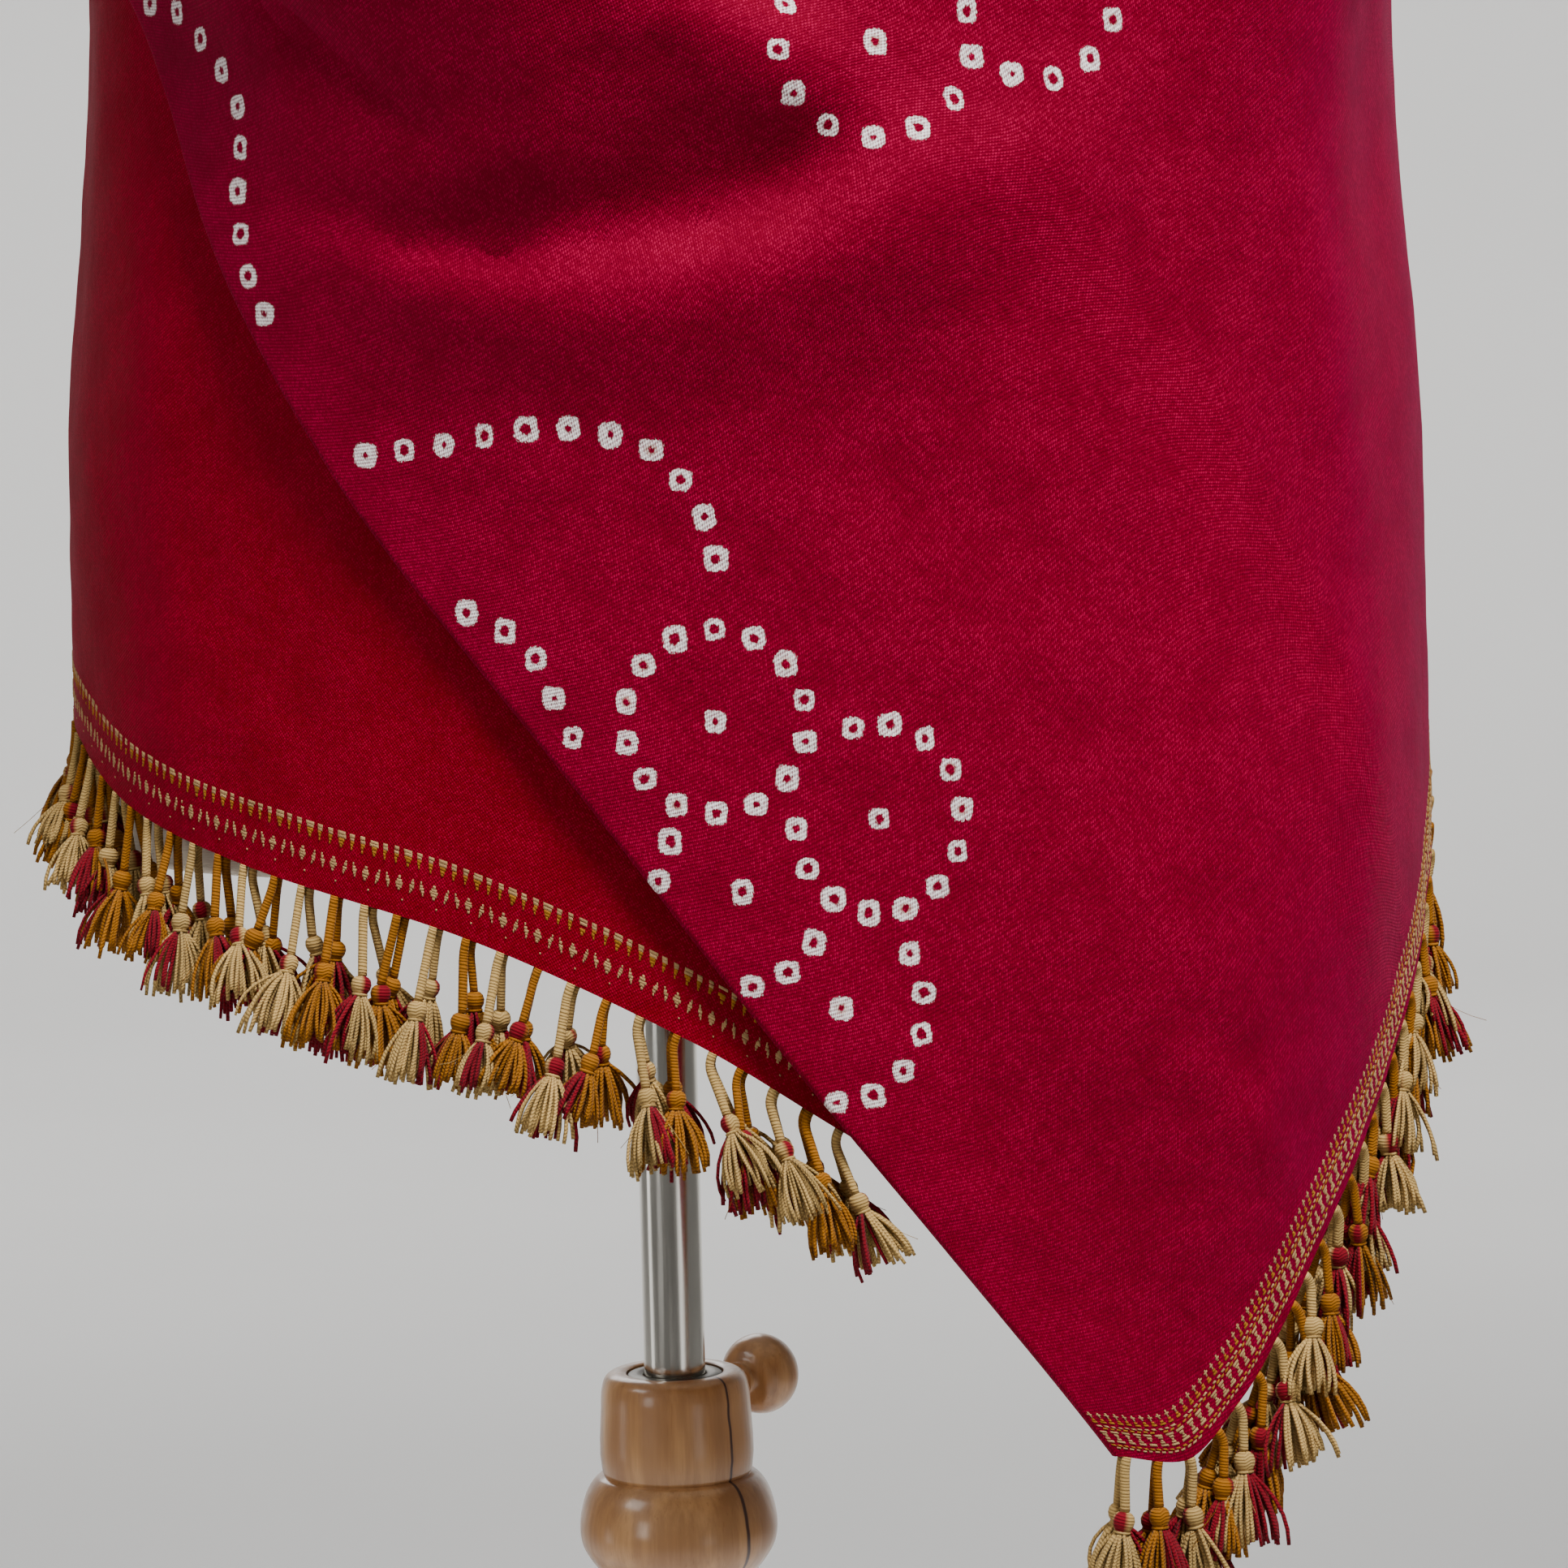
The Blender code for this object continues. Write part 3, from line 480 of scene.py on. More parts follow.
# Creases: soft straight ridges or troughs from one place to another
creaseColumns = "angle1 level1 angle2 level2 width height"
overCreases = table(creaseColumns, (-14, 1.006, 3, 1.0155, 0.0022, 0.0007),
                    (-5, 1.012, -1, 0.992, 0.0026, -0.0006), (31, 1.02, 27, 0.8, 0.015, 0.0024),
                    (44, 0.96, 38, 0.76, 0.018, 0.001), (38, 0.716, 47, 0.688, 0.005, 0.0016),
                    (33, 0.746, 44, 0.714, 0.006, -0.001), (50, 1.03, 60, 0.85, 0.016, 0.0016),
                    (66, 1.1, 70, 0.9, 0.018, -0.002), (22, 0.9, 40, 0.82, 0.016, -0.0008),
                    (2, 0.905, 26, 0.87, 0.012, -0.0008), (-20, 0.905, -6, 0.882, 0.01, 0.0007),
                    (12, 0.7, 30, 0.668, 0.008, 0.0007), (14, 0.835, 30, 0.845, 0.006, 0.0004),
                    (82, 1.18, 92, 0.93, 0.017, 0.0028), (104, 1.15, 108, 0.96, 0.015, -0.0024),
                    (122, 1.1, 122, 0.96, 0.014, 0.0022), (-30, 1.4, 20, 1.36, 0.01, 0.0028),
                    (40, 1.39, 90, 1.3, 0.012, 0.0036))
backCreases = table(creaseColumns, (150, 1.44, 162, 1.3, 0.013, 0.0026),
                    (205, 1.44, 196, 1.32, 0.012, -0.0022), (120, 1.26, 160, 1.09, 0.014, 0.0022),
                    (232, 1.26, 200, 1.06, 0.013, 0.0022), (250, 1.3, 226, 1.16, 0.012, -0.002),
                    (178, 1.06, 190, 1, 0.009, 0.0014), (98, 1.39, 118, 1.3, 0.011, -0.0018))
underCreases = table(creaseColumns, (-58, 1, -50, 0.8, 0.018, 0.0014),
                     (-42, 0.96, -34, 0.78, 0.015, -0.0012), (-26, 0.9, -16, 0.76, 0.013, 0.001),
                     (-84, 1.15, -76, 0.86, 0.02, -0.0018), (-104, 1.18, -98, 0.88, 0.017, 0.002),
                     (-128, 1.08, -124, 0.88, 0.015, -0.0015), (-8, 0.84, 2, 0.75, 0.01, -0.0008))

stretchColumns = "share angle level"
overStretch = {
    "start": table(stretchColumns, (0, sideJoin, 1.098), (1, sideJoin, neckLevel)),
    "end": table(stretchColumns, (0, 389.5, 0.615), (0.05, 395.5, 0.611), (0.1, 401.5, 0.626),
                 (0.2, 411.5, 0.671), (0.3, 422, 0.712), (0.4, 433.5, 0.75), (0.5, 445, 0.785),
                 (0.62, 459, 0.828), (0.75, 474.5, 0.878), (1, wrapEnd, 0.97)),
    "fold": table(stretchColumns, (0, sideJoin, 1.098), (0.15, 290, 1.062), (0.24, 302.5, 1.03),
                  (0.36, 315, 0.964), (0.5, 328, 0.897), (0.66, 346, 0.819), (0.82, 366, 0.723),
                  (0.93, 381, 0.654), (1, 389.5, 0.615)),
    "selvage": table(stretchColumns, (0, sideJoin, neckLevel), (0.15, 300, 1.455), (0.32, 340, 1.405),
                     (0.5, 380, 1.395), (0.66, 420, 1.4), (0.8, 455, 1.33), (0.91, 482, 1.16),
                     (1, wrapEnd, 0.97)),
    "folds": overFolds, "creases": overCreases, "turnBack": 360, "hem": 1.0,
}
backStretch = {
    "start": table(stretchColumns, (0, shoulderJoin, 1.18), (1, shoulderJoin, neckLevel)),
    "end": table(stretchColumns, (0, sideJoin, 1.098), (1, sideJoin, neckLevel)),
    "fold": table(stretchColumns, (0, shoulderJoin, 1.18), (0.25, 110, 1.095), (0.5, 165, 0.985),
                  (0.7, 210, 0.985), (0.85, 240, 1.04), (1, sideJoin, 1.098)),
    "selvage": table(stretchColumns, (0, shoulderJoin, neckLevel), (1, sideJoin, neckLevel)),
    "folds": backFolds, "creases": backCreases, "turnBack": 0, "hem": None,
}
underStretch = {
    "start": table(stretchColumns, (0, 8.5, 0.709), (0.1, -4, 0.737), (0.25, -24, 0.768), (0.4, -45, 0.786),
                   (0.49, -60, 0.799), (0.6, -78, 0.818), (0.75, -105, 0.833), (1, -152, 0.826)),
    "end": table(stretchColumns, (0, shoulderJoin, 1.18), (1, shoulderJoin, neckLevel)),
    "fold": table(stretchColumns, (0, 8.5, 0.709), (0.2, 15, 0.815), (0.4, 24, 0.92), (0.6, 37, 1.03),
                  (0.8, 55, 1.12), (1, shoulderJoin, 1.18)),
    "selvage": table(stretchColumns, (0, -152, 0.826), (0.2, -146, 1.01), (0.4, -132, 1.19),
                     (0.6, -98, 1.35), (0.8, -30, 1.45), (1, shoulderJoin, neckLevel)),
    "folds": underFolds, "creases": underCreases, "turnBack": 0, "hem": 0.0,
}
unevenness = {"wave": (0.085, 0.0007, 3), "ripple": (0.030, 0.00018, 8)}   # size, height and seed
degreeLength = 0.0030   # of one degree round the form


def foldLift(stretch, angle, level):
    angle = angle - stretch["turnBack"]
    lift = np.zeros_like(angle)
    for fold in stretch["folds"]:
        inside = (angle > fold["angle"][0]) & (angle < fold["angle"][-1])
        crest, width, height = (readColumn(fold, "angle", name, angle)
                                for name in ("level", "width", "height"))
        if "below" in fold:
            width = np.where(level < crest, width * readColumn(fold, "angle", "below", angle), width)
        shape = np.exp(-np.abs((level - crest) / width)**fold.get("power", 2.0))
        lift += np.where(inside, height * shape, 0)
    for angle1, level1, angle2, level2, width, height in zip(*stretch["creases"].values()):
        runX, runY = (angle2 - angle1) * degreeLength, level2 - level1
        length = math.hypot(runX, runY)
        offX, offY = (angle - angle1) * degreeLength, level - level1
        alongCrease = np.clip((offX * runX + offY * runY) / length**2, 0, 1)
        offCrease = (offX * runY - offY * runX) / length / width
        lift += height * np.exp(-offCrease**2) * np.sin(math.pi * alongCrease)**1.3
    return lift


def waves(place, size, height, seed):
    # the soft unevenness of worn cloth: crossing waves with no common length
    rng = random.Random(seed)
    lift = np.zeros(place.shape[:-1])
    for k in range(7):
        direction = np.array([rng.uniform(-1, 1) for axis in range(3)])
        direction *= 2 * math.pi / size * rng.uniform(0.6, 1.6) / np.linalg.norm(direction)
        lift += np.sin(place @ direction + rng.uniform(0, 2 * math.pi))
    return lift * height / 4


def stretchPlace(stretch, along, across):
    # angle and level at a share along and across a stretch, blended between its four edges
    place = []
    for name in ("angle", "level"):
        start = readColumn(stretch["start"], "share", name, across)
        end = readColumn(stretch["end"], "share", name, across)
        fold = readColumn(stretch["fold"], "share", name, along)
        selvage = readColumn(stretch["selvage"], "share", name, along)
        startCorners, endCorners = stretch["start"][name][[0, -1]], stretch["end"][name][[0, -1]]
        between = (1 - along) * start + along * end + (1 - across) * fold + across * selvage
        twice = ((1 - along) * ((1 - across) * startCorners[0] + across * startCorners[1])
                 + along * ((1 - across) * endCorners[0] + across * endCorners[1]))
        place.append(between - twice)
    return place


def wallPoint(stretch, along, across, out):
    # a point of the cloth's wall, out metres from its inner face
    along, across, out = np.broadcast_arrays(*(np.asarray(x, float) for x in (along, across, out)))
    angle, level = stretchPlace(stretch, along, across)
    base = drapePoint(angle, level)
    offset = out + layerPitch * (angle - wrapStart) / 360 + foldLift(stretch, angle, level)
    for size, height, seed in unevenness.values():
        offset = offset + waves(base, size, height, seed)
    return base + drapeNormal(angle, level) * offset[..., None]


def plyPoint(stretch, along, across, ply, out=0.0):
    # ply 1 is the outer one and -1 the inner one; out is measured away from the other ply
    return wallPoint(stretch, along, across, wallThickness / 2 + ply * (plyReach + out))


def foldPoint(stretch, along, turn):
    # round the folded edge, from the outer ply (turn 0) to the inner one (turn 180)
    along, turn = np.broadcast_arrays(np.asarray(along, float), np.radians(turn))
    zero = np.zeros_like(along)
    middle = wallPoint(stretch, along, zero, wallThickness / 2)
    inside = wallPoint(stretch, along, zero + 0.02, wallThickness / 2)
    normal = drapeNormal(*stretchPlace(stretch, along, zero))
    away = middle - inside
    away = unit(away - normal * dotted(away, normal))
    return middle + plyReach * (np.cos(turn)[..., None] * normal + np.sin(turn)[..., None] * away)


# Cloth

dotPaint = {   # in millimetres: half a dot's size, its dyed middle, and how ragged both are
    "half": 2.85, "halfVary": 0.40, "square": 3.2, "threadRag": 0.50, "softRag": 1.5,
    "spot": 1.08, "spotVary": 0.30, "shown": 0.96,
    "undyed": (0.97, 0.93, 0.89, 1), "weaveShade": (0.34, 0.20, 0.21, 1), "stain": (0.42, 0.20, 0.10, 1),
}


def paintDots(cloth, place, weave, thread):
    # undyed dots over the cloth's colour. Their attribute is in millimetres from the middle of each.
    paint = dotPaint
    x, y, seed = partsOf(attribute(place.id_data, "dot", "Vector"))
    ragged = weighed((minus(thread, 0.5), paint["threadRag"]),
                     (minus(noise(place, 320, 2, 0.5), 0.5), paint["softRag"]))
    square = paint["square"]
    reach = plus(*(calc("POWER", calc("ABSOLUTE", side), square) for side in (x, y)))
    reach = calc("POWER", reach, 1 / square)
    size = plus(paint["half"], times(seed, paint["halfVary"]))
    white = ramp(minus(plus(reach, ragged), size), -0.12, 0.22, 1.0, 0.0)
    ringReach = calc("SQRT", plus(times(x, x), times(y, y)))
    spotSize = plus(paint["spot"], times(calc("SINE", times(seed, 37.0)), paint["spotVary"]))
    spot = ramp(minus(plus(ringReach, times(ragged, 0.9)), spotSize), -0.15, 0.45)
    # between the threads an undyed dot is painted darker and pinkish, as shade in the weave; the thread noise
    # is random tone
    undyed = mixColours(ramp(plus(weave, thread), -0.5, 1.1), paint["weaveShade"], paint["undyed"])
    stained = ramp(calc("SINE", times(seed, 91.0)), 0.72, 0.98, 0.0, 0.55)
    undyed = mixColours(times(stained, ramp(ringReach, 1.0, 2.3, 1.0, 0.0)), undyed, paint["stain"])
    return mixColours(times(white, spot, paint["shown"]), cloth, undyed)


def makeWool(name, look):
    material, tree, shader = newMaterial(
        name, look["roughness"], Sheen_Weight=look["sheen"], Sheen_Roughness=0.45,
        Sheen_Tint=look["sheenTint"], Specular_IOR_Level=look["gloss"], Specular_Tint=look["glossTint"])
    place = objectPlace(tree)
    woven = partsOf(wovenPlace(tree))
    threads = [times(woven[k], 1 / look["thread"]) for k in (0, 1)]
    weave = times(*(calc("SINE", times(run, 2 * math.pi)) for run in threads))
    cell = joined(*(calc("FLOOR", times(run, 2)) for run in threads))
    thread = addNode(tree, "TexWhiteNoise", {"noise_dimensions": "3D"}, {"Vector": cell}).outputs[0]
    fuzz = noise(place, 900, 4, 0.7)
    mottle = noise(place, 60, 4, 0.62)
    slub = noise(mapping(joined(woven[0], woven[1]), (45, 900, 1)), 1, 3, 0.6)

    # plain weave: a painted highlight, a paler speck on the crown of each crossing, worn softer in patches;
    # slub and fuzz add random paler tone to the same mix
    colour = mixColours(ramp(mottle, 0.20, 0.72), (*look["deep"], 1), (*look["colour"], 1))
    crown = plus(weave, times(minus(thread, 0.5), 1.3))
    crown = times(ramp(crown, 0.15, 1.15), ramp(mottle, 0.30, 0.62, 0.45, 1.0))
    highlightAndSlub = weighed((crown, 0.55), (slub, 0.30), (fuzz, 0.22))
    colour = mixColours(ramp(highlightAndSlub, 0.18, 0.85, 0.0, 0.85), colour, (*look["pale"], 1))

    colour = paintDots(colour, place, weave, thread)
    tree.links.new(colour, shader.inputs["Base Color"])

    soft = noise(place, 240, 3, 0.6)
    height = weighed((weave, 0.45), (thread, 0.35), (fuzz, 0.7), (soft, 1.3), (mottle, 4.0))
    addBump(shader, height, 0.00024, look["bump"])
    return material


# pale is the colour of the painted highlight on the thread crowns
woolLook = {
    "colour": (0.160, 0.0, 0.0068), "deep": (0.132, 0.0, 0.0036), "pale": (0.37, 0.001, 0.042),
    "roughness": 0.70, "gloss": 0.22, "glossTint": (1.0, 0.01, 0.50, 1), "sheen": 0.07,
    "sheenTint": (1.0, 0.01, 0.42, 1), "thread": 0.0011, "bump": 0.8,
}
# the under cloth's copy of the wool: the cloth's reverse face, its colours also set as painted shade for the
# shaded panel it covers, less magenta than the face. Its pale is the painted highlight on the thread crowns.
reverseShadedLook = {
    "colour": (0.179, 0.0, 0.0070), "deep": (0.154, 0.0, 0.0046), "pale": (0.36, 0.0, 0.027),
    "roughness": 0.72, "gloss": 0.18, "glossTint": (1.0, 0.02, 0.25, 1), "sheen": 0.06,
    "sheenTint": (1.0, 0.01, 0.22, 1), "thread": 0.0011, "bump": 0.8,
}

edgeRow = 0.0004   # a thin first row of cells, so that the light runs on across a join
sheets = {
    "overCloth": {
        "stretch": overStretch, "replaces": "shawl_over", "look": "face",
        "restsOn": ("underCloth", "formCover"),
        "along": ((0, edgeRow, 1), (edgeRow, 0.16, 18), (0.16, 0.99, 186), (0.99, 1, 4)),
        "outer": ((0, 0.03, 8), (0.03, 0.82, 136), (0.82, 1, 16)), "inner": ((0, 0.03, 3), (0.03, 1, 30)),
        "trimmings": ("overFringeFront", "overFringeRear", "overBorder"),
    },
    "backCloth": {
        "stretch": backStretch, "replaces": "shawl_back", "look": "face", "restsOn": ("formCover",),
        "along": ((0, edgeRow, 1), (edgeRow, 1 - edgeRow, 128), (1 - edgeRow, 1, 1)),
        "outer": ((0, 0.03, 4), (0.03, 1, 104)), "inner": ((0, 0.03, 3), (0.03, 1, 22)),
        "trimmings": (),
    },
    "underCloth": {
        "stretch": underStretch, "replaces": "shawl_under", "look": "reverseShaded", "restsOn": ("formCover",),
        "along": ((0, 0.01, 3), (0.01, 0.45, 92), (0.45, 1 - edgeRow, 56), (1 - edgeRow, 1, 1)),
        "outer": ((0, 0.03, 7), (0.03, 0.62, 104), (0.62, 1, 30)), "inner": ((0, 0.03, 3), (0.03, 1, 26)),
        "trimmings": ("underFringeFront", "underFringeRear", "underBorder"),
    },
}
foldTurns = np.linspace(180, 0, 8)[1:-1]


def clothGrid(sheet):
    # the middle of both plies as one grid: the inner ply from its selvage, the fold, the outer ply
    stretch = sheet["stretch"]
    alongs = spread(*sheet["along"])[:, None]
    outer, inner = spread(*sheet["outer"]), spread(*sheet["inner"])[::-1]
    points = np.concatenate([plyPoint(stretch, alongs, inner[None], -1),
                             foldPoint(stretch, alongs, foldTurns[None]),
                             plyPoint(stretch, alongs, outer[None], 1)], axis=1)
    bend = plyReach * math.pi / 2
    widths = np.concatenate([-bend - inner * foldedWidth, bend - np.radians(foldTurns) * plyReach,
                             bend + outer * foldedWidth])
    steps = np.linalg.norm(np.diff(points, axis=0), axis=-1)
    lengths = np.vstack([np.zeros(points.shape[1]), np.cumsum(steps, axis=0)])
    woven = np.stack([lengths, np.broadcast_to(widths, lengths.shape)], axis=-1)
    return points, woven


def makeSheet(name, sheet, material):
    points, woven = clothGrid(sheet)
    faces = gridFaces(*points.shape[:2])[:, ::-1]
    thing = meshFrom(name, points.reshape(-1, 3), [faces], material)
    setUV(thing, woven.reshape(-1, 2))
    thicken = thing.modifiers.new("Ply", "SOLIDIFY")
    thicken.thickness = plyThickness
    thicken.offset = 0.0
    applyModifiers(thing)
    smoothBelow(thing, 50)
    outerColumns = len(spread(*sheet["outer"]))
    sheet["length"] = float(np.mean(woven[-1, -outerColumns:, 0]))
    return thing


# Dots: tied before the dyeing. They stand in rings with a dot in the middle, and in lines.
# A ring is centred at an angle and a height; a line runs through its places.
dotLook = {"gap": 0.0120, "least": 0.0085, "marked": 0.0075}
dotDrum = {"halfWidth": 0.2055, "depth": 0.152, "centre": 0.027}
dotRings = table(
    "angle height turn halfWidth halfHeight dots",
    (-1.9, 0.8250, 12, 0.0250, 0.0252, 14), (10.5, 0.7970, 4, 0.0232, 0.0262, 14),
    (-0.2, 0.7780, 18, 0.0232, 0.0262, 14), (7.2, 0.7450, 8, 0.0232, 0.0262, 14),
    (11.6, 1.0085, 18, 0.0268, 0.0258, 13), (24.8, 1.0230, 10, 0.0236, 0.0250, 12),
)
dotLines = [
    ((-52.3, 1.029), (-48.6, 1.026), (-45.4, 1.017), (-42.2, 1.004), (-41.0, 0.993), (-41.8, 0.981),
     (-41.9, 0.971), (-41.6, 0.959), (-40.9, 0.949), (-39.0, 0.938)),
    ((-29.8, 0.900), (-23.4, 0.902), (-16.7, 0.906), (-10.8, 0.906), (-5.2, 0.898), (-1.7, 0.877),
     (-1.2, 0.855), (-2.0, 0.847)),
    ((-21.3, 0.856), (-19.2, 0.853), (-16.3, 0.847), (-14.9, 0.837), (-13.7, 0.826), (-11.7, 0.813)),
]


def drumPlace(angle, height):
    # a place on a plain drum round the form
    turn = math.radians(angle)
    return Vector((dotDrum["centre"] + dotDrum["halfWidth"] * math.sin(turn),
                   -dotDrum["depth"] * math.cos(turn), height))


def dotPlaces():
    places = []
    for angle, height, turn, halfWidth, halfHeight, dots in zip(*dotRings.values()):
        centre = drumPlace(angle, height)
        tangent = (drumPlace(angle + 0.5, height) - drumPlace(angle - 0.5, height)).normalized()
        places.append(centre)
        for k in range(int(dots)):
            bearing = math.radians(turn + 360 * k / dots)
            places.append(centre + tangent * halfWidth * math.cos(bearing)
                          + Vector((0, 0, halfHeight * math.sin(bearing))))
    for line in dotLines:
        stops = [drumPlace(*stop) for stop in line]
        left = 0.0
        for a, b in zip(stops, stops[1:]):
            length = (b - a).length
            while left <= length:
                places.append(a.lerp(b, left / length))
                left += dotLook["gap"]
            left -= length
    kept = []
    for place in places:
        if all((place - other).length > dotLook["least"] for other in kept):
            kept.append(place)
    return kept


def markDots(thing, places, eye):
    # every corner near a dot learns where it lies from the dot's middle, in millimetres
    mesh = thing.data
    values = np.tile(np.array([50.0, 50.0, 0.0], np.float32), (len(mesh.loops), 1))
    if places:
        tree = BVHTree.FromPolygons([v.co for v in mesh.vertices], [p.vertices for p in mesh.polygons])
        centres = KDTree(len(mesh.polygons))
        for polygon in mesh.polygons:
            centres.insert(polygon.center, polygon.index)
        centres.balance()
    nearest = {}
    rng = random.Random(21)
    for place in places:
        found, normal = tree.ray_cast(eye, (place - eye).normalized())[:2]
        if found is None or (found - place).length > 0.05:
            continue
        seed = rng.random()
        upAxis = (Vector((0, 0, 1)) - normal * normal.z).normalized()
        sideAxis = upAxis.cross(normal)
        lean = rng.uniform(-0.12, 0.12)
        upAxis, sideAxis = upAxis + sideAxis * lean, sideAxis - upAxis * lean
        upAxis *= rng.uniform(0.88, 1.04)
        sideAxis *= rng.uniform(0.92, 1.12)
        for centre, face, away in centres.find_range(found, dotLook["marked"]):
            if face not in nearest or away < nearest[face][0]:
                nearest[face] = (away, found, sideAxis, upAxis, seed)
    for face, (away, found, sideAxis, upAxis, seed) in nearest.items():
        for corner in mesh.polygons[face].loop_indices:
            offset = mesh.vertices[mesh.loops[corner].vertex_index].co - found
            values[corner] = (1000 * offset.dot(sideAxis), 1000 * offset.dot(upAxis), seed)
    setAttribute(thing, "dot", "FLOAT_VECTOR", "CORNER", values)


# Hems

def hemLine(stretch, ply):
    # shares across the strip, finely spaced, and the length of hem from the fold to each
    shares = np.linspace(0, 1, 600)
    points = plyPoint(stretch, stretch["hem"], shares, ply)
    return shares, np.concatenate([[0], np.cumsum(np.linalg.norm(np.diff(points, axis=0), axis=-1))])


def hemPlace(stretch, ply, along, inward, out=0.0):
    # a point at a length along the hem from the fold, inward metres from it, out from the ply's face
    shares, lengths = hemLine(stretch, ply)
    across = np.interp(along, lengths, shares)
    end = stretch["hem"]
    inside = 0.02 if end == 0.0 else 0.98
    run = plyPoint(stretch, inside, across, ply) - plyPoint(stretch, end, across, ply)
    share = end + (inside - end) * inward / np.linalg.norm(run, axis=-1)
    return plyPoint(stretch, share, across, ply, plyThickness / 2 + out)


# Borders: short raised stitches, charted for one repeat, in millimetres along and in from the hem.
# A stitch is (along, inward, width, height, slant, colour).
cream, ochre = (0.52, 0.32, 0.145), (0.42, 0.175, 0.016)
stitchLook = {"raised": 0.00022, "spare": 0.00003, "crown": 0.62}


def chartOverBorder():
    # two chains of slanting stitches, hourglasses between them, and a comb of wedges and pins
    hourglass = ((6.1, 2.3), (7.05, 1.4), (7.9, 0.7), (8.75, 1.4), (9.7, 2.3))
    comb = ((13.5, 1.6, 0.78, ochre), (14.4, 0.9, 0.78, ochre), (16.2, 0.5, 2.2, cream),
            (16.3, 1.4, 0.5, cream))
    stitches = []
    for along in np.arange(5) * 2.128:
        stitches += [(along, 3.5, 1.35, 0.66, 0.5, cream), (along + 1.06, 4.5, 1.35, 0.66, -0.5, ochre)]
        stitches += [(along + 0.3, 10.9, 1.3, 0.66, 0.5, ochre), (along + 1.3, 11.9, 1.3, 0.66, -0.5, cream)]
    for along in (1.0, 4.55, 8.1):
        stitches += [(along, inward, width, 0.82, 0.0, cream) for inward, width in hourglass]
    for along in (0.8, 3.46, 6.12, 8.78):
        stitches += [(along, inward, width, height, 0.0, colour) for inward, width, height, colour in comb]
    return stitches


def chartUnderBorder():
    # a wedge with two narrow ones, cream above and ochre below; a diamond with two narrow ones
    wedge = ((18.4, 1.0, cream), (17.5, 0.92, cream), (16.6, 0.74, ochre), (15.7, 0.52, ochre),
             (14.8, 0.3, ochre))
    diamond = ((10.7, 0.34), (9.9, 0.70), (9.1, 1.0), (8.3, 0.70), (7.5, 0.34))
    stitches = []
    for along, width in ((1.8, 2.7), (5.5, 1.6), (9.0, 1.6)):
        stitches += [(along, inward, width * share, 0.92, 0.1, colour) for inward, share, colour in wedge]
    for along, width, slant in ((3.9, 2.3, 0.0), (7.5, 1.25, 0.22), (10.6, 1.25, -0.22)):
        stitches += [(along + slant * (inward - 9.1), inward, width * share, 0.84, 0.0, cream)
                     for inward, share in diamond]
    return stitches + [(2.6, 4.6, 0.5, 0.5, 0.0, cream)]


borders = {
    "overBorder": {"stretch": overStretch, "repeat": 0.01064, "stitches": chartOverBorder(), "seed": 11},
    "underBorder": {"stretch": underStretch, "repeat": 0.01060, "stitches": chartUnderBorder(), "seed": 12},
}
pillow = np.array([(4, 5, 6, 7), (0, 1, 5, 4), (1, 2, 6, 5), (2, 3, 7, 6), (3, 0, 4, 7)])


def makeBorder(name, border, material):
    rng = np.random.default_rng(border["seed"])
    stretch = border["stretch"]
    chart = np.array([stitch[:5] for stitch in border["stitches"]])
    colours = np.array([stitch[5] for stitch in border["stitches"]])
    points, faces, tints, start = [], [], [], 0
    for ply in (1, -1):
        total = hemLine(stretch, ply)[1][-1] * 1000
        repeats = round(total / border["repeat"] / 1000)
        pitch = total / repeats
        along, inward, width, height, slant = np.tile(chart, (repeats, 1)).T
        count = len(along)
        along = along * pitch / border["repeat"] / 1000 + np.repeat(np.arange(repeats), len(chart)) * pitch
        along = along + rng.normal(0, 0.07, count)
        inward = inward + rng.normal(0, 0.07, count) + 0.25 * np.sin(along * 0.11)
        width = width / 2 * rng.uniform(0.85, 1.12, count)
        height = height / 2 * rng.uniform(0.88, 1.10, count)
        slant = slant + rng.normal(0, 0.06, count)
        tint = np.tile(colours, (repeats, 1)) * rng.uniform(0.78, 1.12, (count, 1))
        kept = (along > 0.4) & (along < total - 0.4) & (rng.random(count) > 0.015)
        corners = []
        for shrink, out in ((1.0, 0.0), (stitchLook["crown"], stitchLook["raised"])):
            for right, inner in ((-1, -1), (1, -1), (1, 1), (-1, 1)):
                x = np.clip(along + (right * width + slant * inner * height) * shrink, 0.05, total - 0.05)
                y = inward + inner * height * shrink
                x, y = x[kept] / 1000, y[kept] / 1000
                corners.append(hemPlace(stretch, ply, x, y, stitchLook["spare"] + out))
        corners = np.stack(corners, axis=1)
        turned = pillow if (ply > 0) == (stretch["hem"] == 1.0) else pillow[:, ::-1]
        faces.append((turned[None] + start + 8 * np.arange(len(corners))[:, None, None]).reshape(-1, 4))
        points.append(corners.reshape(-1, 3))
        tints.append(np.repeat(tint[kept], 8, axis=0))
        start += 8 * len(corners)
    thing = meshFrom(name, np.concatenate(points), [np.concatenate(faces)], material)
    setTints(thing, np.concatenate(tints))
    return thing


